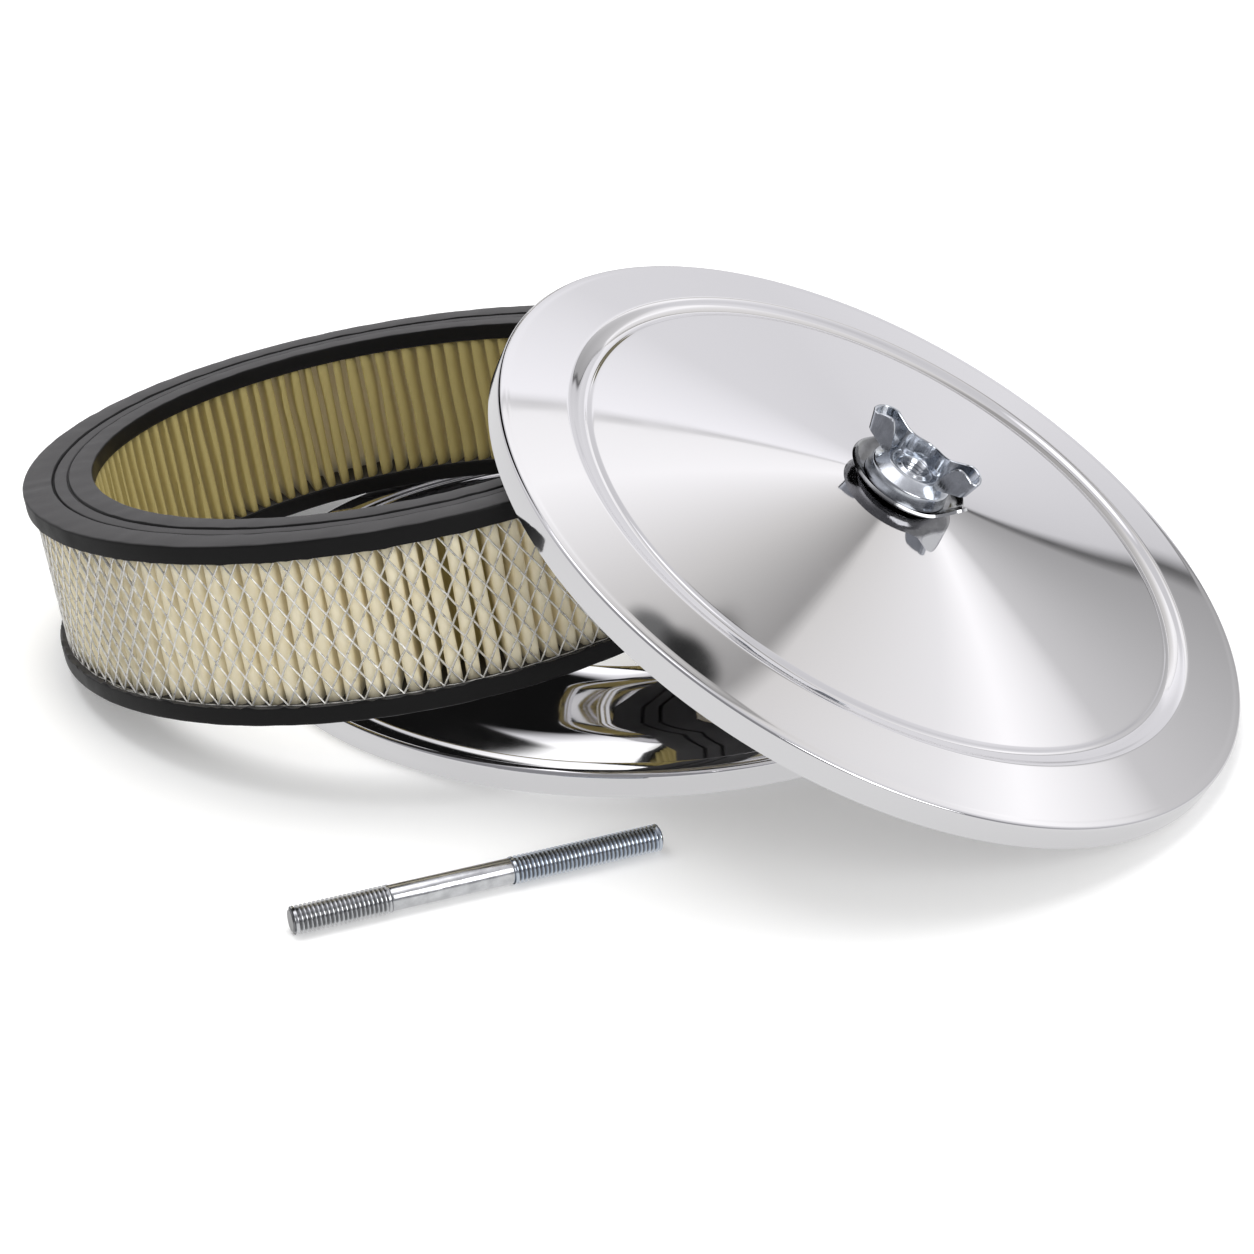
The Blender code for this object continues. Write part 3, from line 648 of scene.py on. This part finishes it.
class CLEANER_OT_paper(bpy.types.Operator):
    """Folded filter paper, one strip with round crests and valleys that sway a little."""
    bl_idname = "cleaner.paper"
    bl_label = "Pleated paper"

    def execute(self, context):
        _, ring, _, finishes = settings()
        low, high = ring.seal_height - PAPER_TUCK, ring.height - ring.seal_height + PAPER_TUCK
        outer, inner = ring.screen_radius - PAPER_INSETS[0], ring.inner_radius + PAPER_INSETS[1]
        middle, depth = (outer + inner) / 2, (outer - inner) / 2
        around, rows = 18, 10
        count = ring.pleats * around
        builder = bmesh.new()
        layers = []
        for row in range(rows + 1):
            height = low + (high - low) * row / rows
            layer = []
            for i in range(count):
                phase = tau * i / around
                pleat = round(i / around)
                wave = cos(phase)
                inside = (1 - wave) / 2
                sway = noise.noise(Vector((pleat * 0.83, row * 0.20, 1.0))) * FOLD_SWAY
                reach = noise.noise(Vector((pleat * 1.7, row * 0.22, 7.0))) * FOLD_UNEVENNESS
                radius = middle + depth * wave * (1.5 - 0.5 * wave * wave)
                radius += reach * max(0.0, wave) - FOLD_SETBACK
                bulge = FOLD_BULGE[0] + (FOLD_BULGE[1] - FOLD_BULGE[0]) * inside
                turn = phase + bulge * sin(2 * phase) + FOLD_LEAN * tau * inside ** 2
                angle = turn / ring.pleats + sway / radius
                layer.append(builder.verts.new((radius * cos(angle), radius * sin(angle), height)))
            layers.append(layer)
        for here, above in zip(layers, layers[1:]):
            for i in range(count):
                j = (i + 1) % count
                builder.faces.new((here[i], here[j], above[j], above[i]))
        material = paper_finish("filter_paper", finishes.paper_outside, finishes.paper_inside, inner)
        paper = new_piece("filter_paper", builder, material, filter_frame(), FIXED_BODY, "pleated_paper",
                          80)
        thicken = paper.modifiers.new("Paper", 'SOLIDIFY')
        thicken.thickness = PAPER_SHEET
        thicken.offset = 0.0
        return {'FINISHED'}


def diamond_band(first, count, rows, low, high, radius, width, strand):
    """Open diamonds round part of a drum, each strand raised along its middle."""
    builder = bmesh.new()
    tall = (high - low) / rows
    bars = 0.5 * strand
    for column in range(count):
        for half_row in range(2 * rows + 1):
            across = (first + column + 0.5 * (half_row % 2)) * width
            up = low + half_row * tall / 2
            rim, hole = [], []
            for k in range(8):
                turn = tau * k / 8
                if k % 2 == 0:
                    x, y = cos(turn) * width / 2, sin(turn) * tall / 2
                    shrink = (1 - bars / (width / 2) * 1.35) if k in (0, 4) else (1 - bars / (tall / 2) * 2.1)
                else:
                    x, y = (1 if cos(turn) > 0 else -1) * width / 4, (1 if sin(turn) > 0 else -1) * tall / 4
                    shrink = 1 - bars / (width / 4) * 0.55
                rim.append((across + x, up + y))
                hole.append((across + x * shrink, up + y * shrink))
            for k in range(8):
                j = (k + 1) % 8
                quad = [(rim[k], STRAND_RIDGE), (rim[j], STRAND_RIDGE), (hole[j], 0.0), (hole[k], 0.0)]
                verts = []
                for (x, y), raised in quad:
                    y = min(max(y, low), high)
                    angle, reach = x / radius, radius + raised
                    verts.append(builder.verts.new((reach * cos(angle), reach * sin(angle), y)))
                if len({tuple(round(c, 7) for c in v.co) for v in verts}) == 4:
                    builder.faces.new(verts)
    loose = [v for v in builder.verts if not v.link_faces]
    bmesh.ops.delete(builder, geom=loose, context='VERTS')
    bmesh.ops.remove_doubles(builder, verts=builder.verts, dist=2e-6)
    noise.seed_set(SWAY_SEED)
    for vert in builder.verts:
        sway = noise.noise_vector(vert.co * 260)
        vert.co += Vector((sway.x, sway.y, 1.6 * sway.z)) * SCREEN_SWAY
        vert.co.z = min(max(vert.co.z, low), high)
    return builder


class CLEANER_OT_screen(bpy.types.Operator):
    """Expanded diamond screen round the pleats, lapped over itself at its seam."""
    bl_idname = "cleaner.screen"
    bl_label = "Diamond screen"

    def execute(self, context):
        _, ring, _, finishes = settings()
        low, high = ring.seal_height - SCREEN_TUCK, ring.height - ring.seal_height + SCREEN_TUCK
        radius = ring.screen_radius + 0.0003
        width = tau * radius / ring.diamonds
        material = screen_finish("screen_steel", finishes.screen)
        drum = diamond_band(0, ring.diamonds, ring.diamond_rows, low, high, radius, width, STRAND)
        screen = new_piece("diamond_screen", drum, material, filter_frame(), FIXED_BODY, "outer_screen",
                           60)
        lap = diamond_band(LAP_START, LAP_DIAMONDS, ring.diamond_rows, low, high - 0.0008,
                           radius + LAP_HEIGHT, width, STRAND)
        seam = new_piece("screen_lap", lap, material, filter_frame(), FIXED_BODY, None,
                         60)
        for piece in (screen, seam):
            thicken = piece.modifiers.new("Sheet", 'SOLIDIFY')
            thicken.thickness = SCREEN_SHEET
            thicken.offset = 0.0
        return {'FINISHED'}


def threaded_length(builder, start, end, radius, pitch, round_steps=32):
    """Rolled thread from one height to another, its crests and roots slightly rounded."""
    depth = THREAD_DEPTH * pitch
    profile = [(0.0, 0.0), (0.06, 0.0), (0.44, -1.0), (0.56, -1.0), (0.94, 0.0)]
    turns = int((end - start) / pitch) + 2
    rings = []
    for k in range(turns * round_steps + 1):
        angle = tau * (k % round_steps) / round_steps
        base = start - pitch + pitch * k / round_steps
        ring = []
        for share, drop in profile:
            z = min(max(base + share * pitch, start), end)
            fade = min(1.0, (z - start) / pitch, (end - z) / pitch)
            r = radius + drop * depth * max(0.35, fade)
            ring.append(builder.verts.new((r * cos(angle), r * sin(angle), z)))
        rings.append(ring)
    for here, ahead in zip(rings, rings[1:]):
        for j in range(len(profile) - 1):
            builder.faces.new((here[j], ahead[j], ahead[j + 1], here[j + 1]))
    for k in range(len(rings) - round_steps - 1):
        here, ahead = rings[k], rings[k + 1]
        above, above_ahead = rings[k + round_steps], rings[k + round_steps + 1]
        builder.faces.new((here[-1], ahead[-1], above_ahead[0], above[0]))


class CLEANER_OT_stud(bpy.types.Operator):
    """Centre stud with a short and a long rolled thread."""
    bl_idname = "cleaner.stud"
    bl_label = "Stud"

    def execute(self, context):
        _, _, sizes, finishes = settings()
        radius, pitch, length = sizes.thread_radius, sizes.pitch, sizes.stud_length
        short, long_end = SHORT_THREAD, length - LONG_THREAD
        root = radius - THREAD_DEPTH * pitch
        shank = radius - SHANK_RELIEF
        outline = [(0.0, 0.0), (root - 0.0002, 0.0), (root + 0.0001, 0.0004), (root, 0.0012),
                   (root, short - 0.001), (shank - 0.0001, short), (shank, short + 0.0006),
                   (shank, long_end - 0.0006), (shank - 0.0001, long_end), (root, long_end + 0.001),
                   (root, length - 0.0012), (root + 0.0001, length - 0.0004), (root - 0.0002, length),
                   (0.0, length)]
        builder = turned(outline, 64, closed=False)
        threaded_length(builder, 0.0006, short, radius, pitch)
        threaded_length(builder, long_end, length - 0.0006, radius, pitch)
        low, high = (Vector(corner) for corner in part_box("centre_stud"))
        along = Matrix.Rotation(STUD_HEADING, 4, 'Z') @ Matrix.Rotation(pi / 2, 4, 'Y')
        place = Matrix.Translation((low + high) / 2) @ along @ Matrix.Translation((0, 0, -length / 2))
        blue = tuple(c * f for c, f in zip(finishes.zinc, (0.84, 0.90, 0.98)))
        # The stud's thread roots get painted shade, from the root radius out to the shank's radius.
        material = zinc_finish("stud_zinc", finishes.zinc, (0.12, 0.26), (blue, long_end - 0.0005),
                               (root, shank))
        new_piece("threaded_stud", builder, material, place, FIXED_BODY, "centre_stud",
                  35)
        return {'FINISHED'}


class CLEANER_OT_washer(bpy.types.Operator):
    """Cup washer with a flared rim and one curled ear."""
    bl_idname = "cleaner.washer"
    bl_label = "Cup washer"

    def execute(self, context):
        covers, _, sizes, finishes = settings()
        floor = sizes.skirt_radius + WASHER_CLEARANCE
        rim = sizes.washer_radius
        outline = [(rim, 0.0030), (rim - 0.0012, 0.0018), (floor + 0.0008, 0.0004), (floor - 0.001, 0.0),
                   (CENTRE_HOLE, 0.0)]
        outline = rounded(outline, [0, 0.0014, 0.0012, 0.0010, 0], 5)
        section = sheet_section(outline, WASHER_SHEET)
        section[:, 1] += WASHER_SHEET
        steps = 192
        builder = bmesh.new()
        rings = []
        for i in range(steps):
            angle = tau * i / steps
            away = (angle - EAR_HEADING + pi) % tau - pi
            swell = exp(-(away / EAR_SPREAD) ** 2)
            ring = []
            for r, h in section:
                weight = max(0.0, min(1.0, (r - floor) / (rim - floor))) ** 1.3
                reach = r + EAR_REACH * weight * swell
                ring.append(builder.verts.new((reach * cos(angle), reach * sin(angle),
                                               h + EAR_RISE * weight * swell)))
            rings.append(ring)
        for i in range(steps):
            here, ahead = rings[i], rings[(i + 1) % steps]
            for j in range(len(section)):
                k = (j + 1) % len(section)
                builder.faces.new((here[j], here[k], ahead[k], ahead[j]))
        place = lid_frame(covers.lip_height)
        turned_back = Matrix.Rotation(-atan2(place[1][2], place[0][2]), 4, 'Z')
        place = place @ Matrix.Translation((0, 0, HUB_HEIGHT + REST_GAP)) @ turned_back
        # Painted light: the cup is painted at 0.42 of the zinc as shade, and its rim and ear above 3.4 mm
        # keep the full zinc as a painted highlight.
        shade = tuple(c * 0.42 for c in finishes.zinc)
        material = zinc_finish("washer_zinc_painted_shade", shade, (0.08, 0.18), (finishes.zinc, 0.0034))
        new_piece("cup_washer_plated", builder, material, place, FIXED_BODY, "cup_washer",
                  50)
        return {'FINISHED'}


def wing_path():
    """Plan of the folded strip: each place, its nearness to the hub, and its facing, front to back."""
    bend = WING_REACH - hypot(WING_HALF_WIDTH, WING_SKEW)
    front_end, back_end = bend + WING_SKEW, bend - WING_SKEW
    side = [(front_end - share * (front_end - WING_FOOT), -WING_HALF_WIDTH, share, -1.0)
            for share in np.linspace(1, 0, 17)[:-1]]
    for turn in np.linspace(-pi / 2, pi / 2, 25):
        side.append((bend + WING_HALF_WIDTH * cos(turn) - WING_SKEW * sin(turn), WING_HALF_WIDTH * sin(turn),
                     0.0, sin(turn)))
    side += [(back_end - share * (back_end - WING_FOOT), WING_HALF_WIDTH, share, 1.0)
             for share in np.linspace(0, 1, 9)[1:]]
    web = []
    for place in np.linspace(0.94, -0.94, 33):
        bow = WING_HALF_WIDTH + WEB_BOW * (1 + cos(pi * place)) / 2
        web.append((place * WING_FOOT, bow, 1.0, 1.0))
    return side + web + [(-x, y, share, facing) for x, y, share, facing in reversed(side)]


def wing_top(reach, share, facing):
    """Height of the strip's upper edge: a rounded leaf in front, one long saddle behind."""
    out = 1 - share
    rise = sin(min(1.0, out / LEAF_SHOULDER) * pi / 2)
    leaf = LEAF_ROOT + (WING_TOP - LEAF_ROOT) * rise - LEAF_FALL * out ** 4
    saddle = WEB_TOP + (WING_TOP - WEB_TOP) * min(1.0, reach / SADDLE_REACH) ** SADDLE_POWER
    return leaf + (saddle - leaf) * (1 + facing) / 2


def wing_strip(builder):
    """The folded strip that stands on the hub: two wings joined by a web behind the eye."""
    path = wing_path()
    section = sheet_section([(x, y) for x, y, _, _ in path], WING_SHEET)
    levels = 9
    outer_face, inner_face = [], []
    for (x, y, share, facing), inner in zip(path, section[::-1]):
        reach = abs(x)
        top = wing_top(reach, share, facing)
        low = DECK_HEIGHT - NUT_SHELL + max(0.0, reach - DECK_RADIUS) * WING_RISE
        lean = WING_LEAN * max(0.0, reach - WING_FOOT) / (WING_REACH - WING_FOOT) * (1 if x >= 0 else -1)
        heights = [low + (top - low) * level / (levels - 1) for level in range(levels)]
        heights[-1:] = [top - EDGE_ROUND, top]
        for face, (px, py), other in ((outer_face, (x, y), inner), (inner_face, inner, (x, y))):
            row = []
            for level, h in enumerate(heights):
                ease = EDGE_EASE if level == len(heights) - 1 else 0.0
                qx, qy = px + (other[0] - px) * ease, py + (other[1] - py) * ease
                row.append(builder.verts.new((qx + lean * (h - WING_TOP), qy, h)))
            face.append(row)
    for i in range(len(path) - 1):
        here, ahead, near, beyond = outer_face[i], outer_face[i + 1], inner_face[i], inner_face[i + 1]
        for j in range(levels):
            builder.faces.new((here[j], ahead[j], ahead[j + 1], here[j + 1]))
            builder.faces.new((beyond[j], near[j], near[j + 1], beyond[j + 1]))
        builder.faces.new((here[-1], ahead[-1], beyond[-1], near[-1]))
        builder.faces.new((ahead[0], here[0], near[0], beyond[0]))
    for i in (0, len(path) - 1):
        outer_end, inner_end = outer_face[i], inner_face[i]
        for j in range(levels):
            builder.faces.new((outer_end[j], outer_end[j + 1], inner_end[j + 1], inner_end[j]))


class CLEANER_OT_wing_nut(bpy.types.Operator):
    """Stamped wing nut: round skirt, sunk deck with a threaded eye, and two folded wings."""
    bl_idname = "cleaner.wing_nut"
    bl_label = "Wing nut"

    def execute(self, context):
        _, _, sizes, finishes = settings()
        skirt, bore = sizes.skirt_radius, sizes.thread_radius * BORE_SHARE
        deck, eye, top = DECK_RADIUS, EYE_RADIUS, DECK_HEIGHT
        sunk = top - EYE_SINK
        outline = [(skirt + 0.0001, 0.0), (skirt - 0.0006, SKIRT_HEIGHT), (deck, top), (deck - EYE_SINK, top),
                   (eye + EYE_SINK, sunk), (eye - 0.0003, top + 0.0001), (bore, sunk)]
        upper = rounded(outline, [0, 0.0005, 0.0004, 0.0005, 0.0006, 0.0006, 0], 5)
        for turn in range(5):
            root = top - 0.0018 - turn * sizes.pitch
            upper += [(bore + 0.0005, root), (bore, root - sizes.pitch / 2)]
        under = [(bore, -PILOT_LENGTH), (eye, -PILOT_LENGTH), (eye, sunk - NUT_SHELL),
                 (deck - NUT_SHELL, top - NUT_SHELL), (skirt - NUT_SHELL, SKIRT_HEIGHT - NUT_SHELL / 2),
                 (skirt - NUT_SHELL, 0.0)]
        builder = turned(upper + under, 128)
        wing_strip(builder)
        place = nut_frame()
        turned_back = Matrix.Rotation(NUT_HEADING - atan2(place[1][2], place[0][2]), 4, 'Z')
        shade = tuple(c * f for c, f in zip(finishes.zinc, (0.93, 0.96, 1.0)))
        new_piece("stamped_wing_nut", builder, zinc_finish("nut_zinc", shade, (0.10, 0.22)),
                  place @ turned_back, NUT_BODY, "wing_nut", 38)
        return {'FINISHED'}


def fill_ramp(ramp, stops):
    """Give a colour ramp its stops, first to last."""
    while len(ramp.elements) > 1:
        ramp.elements.remove(ramp.elements[-1])
    for place, colour in stops[1:]:
        ramp.elements.new(place).color = (*colour, 1)
    ramp.elements[0].position = stops[0][0]
    ramp.elements[0].color = (*stops[0][1], 1)


def soft_panel(nodes, heading, rise, colour, panel):
    """Lay one soft-edged oval of light or shade over the surroundings."""
    place, level, width, height, edge, tone = panel
    across = nodes.math('MULTIPLY_ADD', heading, 1 / width, -place / width)
    up = nodes.math('MULTIPLY_ADD', rise, 1 / height, -level / height)
    reach = nodes.math('MULTIPLY_ADD', across, across, nodes.math('MULTIPLY', up, up))
    inside = nodes.spread(reach, 1.0, 0.0, (1 - edge) ** 2, (1 + edge) ** 2, smooth=True)
    return nodes.mix(inside, colour, tone)


def room_tones(nodes):
    """Colour of the studio as the bright metal mirrors it, by heading and rise in degrees."""
    direction = nodes.add("ShaderNodeTexCoord")
    apart = nodes.add("ShaderNodeSeparateXYZ")
    nodes.link(direction.outputs["Generated"], apart.inputs["Vector"])
    x, y, z = apart.outputs
    heading = nodes.math('MULTIPLY', nodes.math('ARCTAN2', x, y), 180 / pi)
    rise = nodes.math('MULTIPLY', nodes.math('ARCSINE', z), 180 / pi)
    ramp = nodes.add("ShaderNodeValToRGB")
    nodes.link(z, ramp.inputs["Fac"])
    fill_ramp(ramp.color_ramp, [(place, [level * c for c in COOL]) for place, level in ROOM_HEIGHTS])
    colour = ramp.outputs["Color"]
    across = nodes.math('SUBTRACT', heading, ROOM_CENTRE[0])
    up = nodes.math('SUBTRACT', rise, ROOM_CENTRE[1])
    reach = nodes.math('MULTIPLY_ADD', across, across, nodes.math('MULTIPLY', up, up))
    turn = nodes.math('MULTIPLY_ADD', nodes.math('ARCTAN2', up, across), 0.5 / pi, 0.5)
    walls = nodes.add("ShaderNodeValToRGB")
    nodes.link(turn, walls.inputs["Fac"])
    fill_ramp(walls.color_ramp, [((place + 180) / 360, [level * c for c in tint])
                                 for place, level, tint in ROOM_WALLS])
    near, far = (limit ** 2 for limit in ROOM_REACH)
    colour = nodes.mix(nodes.spread(reach, 1.0, 0.0, near, far, smooth=True), colour, walls.outputs["Color"])
    for panel in PANELS:
        colour = soft_panel(nodes, heading, rise, colour, panel)
    return colour


def studio_world():
    """Pale surroundings: white to the camera, soft fill for the rest, a shaded room to the metal."""
    world = bpy.data.worlds.new("studio")
    bpy.context.scene.world = world
    nodes = Nodes(world)
    nodes.tree.nodes.clear()
    path = nodes.add("ShaderNodeLightPath")
    fill = nodes.add("ShaderNodeBackground", Color=(1.0, 1.0, 1.0, 1.0), Strength=FILL_LIGHT)
    seen = nodes.add("ShaderNodeBackground", Color=(1.0, 1.0, 1.0, 1.0), Strength=1.0)
    mirrored = nodes.add("ShaderNodeBackground")
    nodes.link(room_tones(nodes), mirrored.inputs["Color"])
    first = nodes.add("ShaderNodeMixShader")
    second = nodes.add("ShaderNodeMixShader")
    nodes.link(path.outputs["Is Glossy Ray"], first.inputs["Fac"])
    nodes.link(fill.outputs["Background"], first.inputs[1])
    nodes.link(mirrored.outputs["Background"], first.inputs[2])
    nodes.link(path.outputs["Is Camera Ray"], second.inputs["Fac"])
    nodes.link(first.outputs["Shader"], second.inputs[1])
    nodes.link(seen.outputs["Background"], second.inputs[2])
    output = nodes.add("ShaderNodeOutputWorld")
    nodes.link(second.outputs["Shader"], output.inputs["Surface"])


def studio_floor():
    """White floor that keeps the object's soft shadow and fades to plain white far away."""
    builder = bmesh.new()
    bmesh.ops.create_grid(builder, x_segments=1, y_segments=1, size=FLOOR_SIZE)
    mesh = bpy.data.meshes.new("floor")
    builder.to_mesh(mesh)
    builder.free()
    floor = bpy.data.objects.new("floor", mesh)
    bpy.context.collection.objects.link(floor)
    nodes = Nodes(bpy.data.materials.new("floor_white"))
    nodes.shader.inputs["Roughness"].default_value = 0.9
    nodes.shader.inputs["Specular IOR Level"].default_value = 0.1
    path = nodes.add("ShaderNodeLightPath")
    mirrored, seen = path.outputs["Is Glossy Ray"], path.outputs["Is Camera Ray"]
    shade = nodes.math('MULTIPLY_ADD', mirrored, MIRRORED_SHADE - FLOOR_SHADE, FLOOR_SHADE)
    nodes.link(shade, nodes.shader.inputs["Base Color"])
    place = nodes.add("ShaderNodeTexCoord").outputs["Object"]
    away = nodes.spread(nodes.radius(place), *CAMERA_GLOW, *GLOW_REACH, smooth=True)
    white = nodes.math('MULTIPLY_ADD', mirrored, MIRRORED_GLOW, nodes.math('MULTIPLY', seen, away))
    nodes.shader.inputs["Emission Color"].default_value = (1, 1, 1, 1)
    nodes.link(white, nodes.shader.inputs["Emission Strength"])
    mesh.materials.append(nodes.owner)


def soft_lamp(name, place, size, power, mirrored):
    """A large soft area lamp aimed at the origin; the metal mirrors it or not."""
    lamp = bpy.data.lights.new(name, 'AREA')
    lamp.shape = 'RECTANGLE'
    lamp.size, lamp.size_y = size
    lamp.energy = power
    holder = bpy.data.objects.new(name, lamp)
    bpy.context.collection.objects.link(holder)
    holder.location = place
    holder.visible_glossy = mirrored
    holder.rotation_euler = (-Vector(place)).to_track_quat('-Z', 'Y').to_euler()


class CLEANER_OT_stage(bpy.types.Operator):
    """White floor, pale surroundings, soft lamps and the camera."""
    bl_idname = "cleaner.stage"
    bl_label = "Stage"

    def execute(self, context):
        context.scene.view_settings.view_transform = 'Standard'
        studio_world()
        studio_floor()
        for lamp in LAMPS:
            soft_lamp(*lamp)
        camera = bpy.data.cameras.new("camera")
        camera.lens = CAMERA_LENS
        camera.sensor_width = SENSOR_WIDTH
        holder = bpy.data.objects.new("camera", camera)
        context.collection.objects.link(holder)
        holder.location = pan_frame().translation + Vector(CAMERA_OFFSET)
        holder.rotation_euler = (CAMERA_PITCH, 0, 0)
        context.scene.camera = holder
        return {'FINISHED'}


class CLEANER_PT_panel(bpy.types.Panel):
    """Sidebar panel with the sizes, the finishes and one button for each piece."""
    bl_label = "Air Cleaner"
    bl_idname = "CLEANER_PT_panel"
    bl_space_type = 'VIEW_3D'
    bl_region_type = 'UI'
    bl_category = "Air Cleaner"

    def draw(self, context):
        for group in settings():
            box = self.layout.box()
            for name in group.bl_rna.properties.keys():
                if name not in {"rna_type", "name"}:
                    box.prop(group, name)
        for operator in PIECES:
            self.layout.operator(operator.bl_idname)


PIECES = (CLEANER_OT_pan, CLEANER_OT_lid, CLEANER_OT_seals, CLEANER_OT_paper, CLEANER_OT_screen,
          CLEANER_OT_washer, CLEANER_OT_wing_nut, CLEANER_OT_stud, CLEANER_OT_stage)
GROUPS = (CoverSizes, FilterSizes, HardwareSizes, Finishes)


def register():
    """Register the classes and hang the settings on the scene."""
    for cls in GROUPS + PIECES + (CLEANER_PT_panel,):
        bpy.utils.register_class(cls)
    bpy.types.Scene.cleaner_covers = PointerProperty(type=CoverSizes)
    bpy.types.Scene.cleaner_filter = PointerProperty(type=FilterSizes)
    bpy.types.Scene.cleaner_hardware = PointerProperty(type=HardwareSizes)
    bpy.types.Scene.cleaner_finishes = PointerProperty(type=Finishes)


def unregister():
    """Take the settings and the classes away again."""
    del bpy.types.Scene.cleaner_finishes
    del bpy.types.Scene.cleaner_hardware
    del bpy.types.Scene.cleaner_filter
    del bpy.types.Scene.cleaner_covers
    for cls in reversed(GROUPS + PIECES + (CLEANER_PT_panel,)):
        bpy.utils.unregister_class(cls)


def main():
    """Build every piece in order."""
    register()
    bpy.ops.cleaner.pan()
    bpy.ops.cleaner.lid()
    bpy.ops.cleaner.seals()
    bpy.ops.cleaner.paper()
    bpy.ops.cleaner.screen()
    bpy.ops.cleaner.washer()
    bpy.ops.cleaner.wing_nut()
    bpy.ops.cleaner.stud()
    bpy.ops.cleaner.stage()


if __name__ == "__main__":
    main()
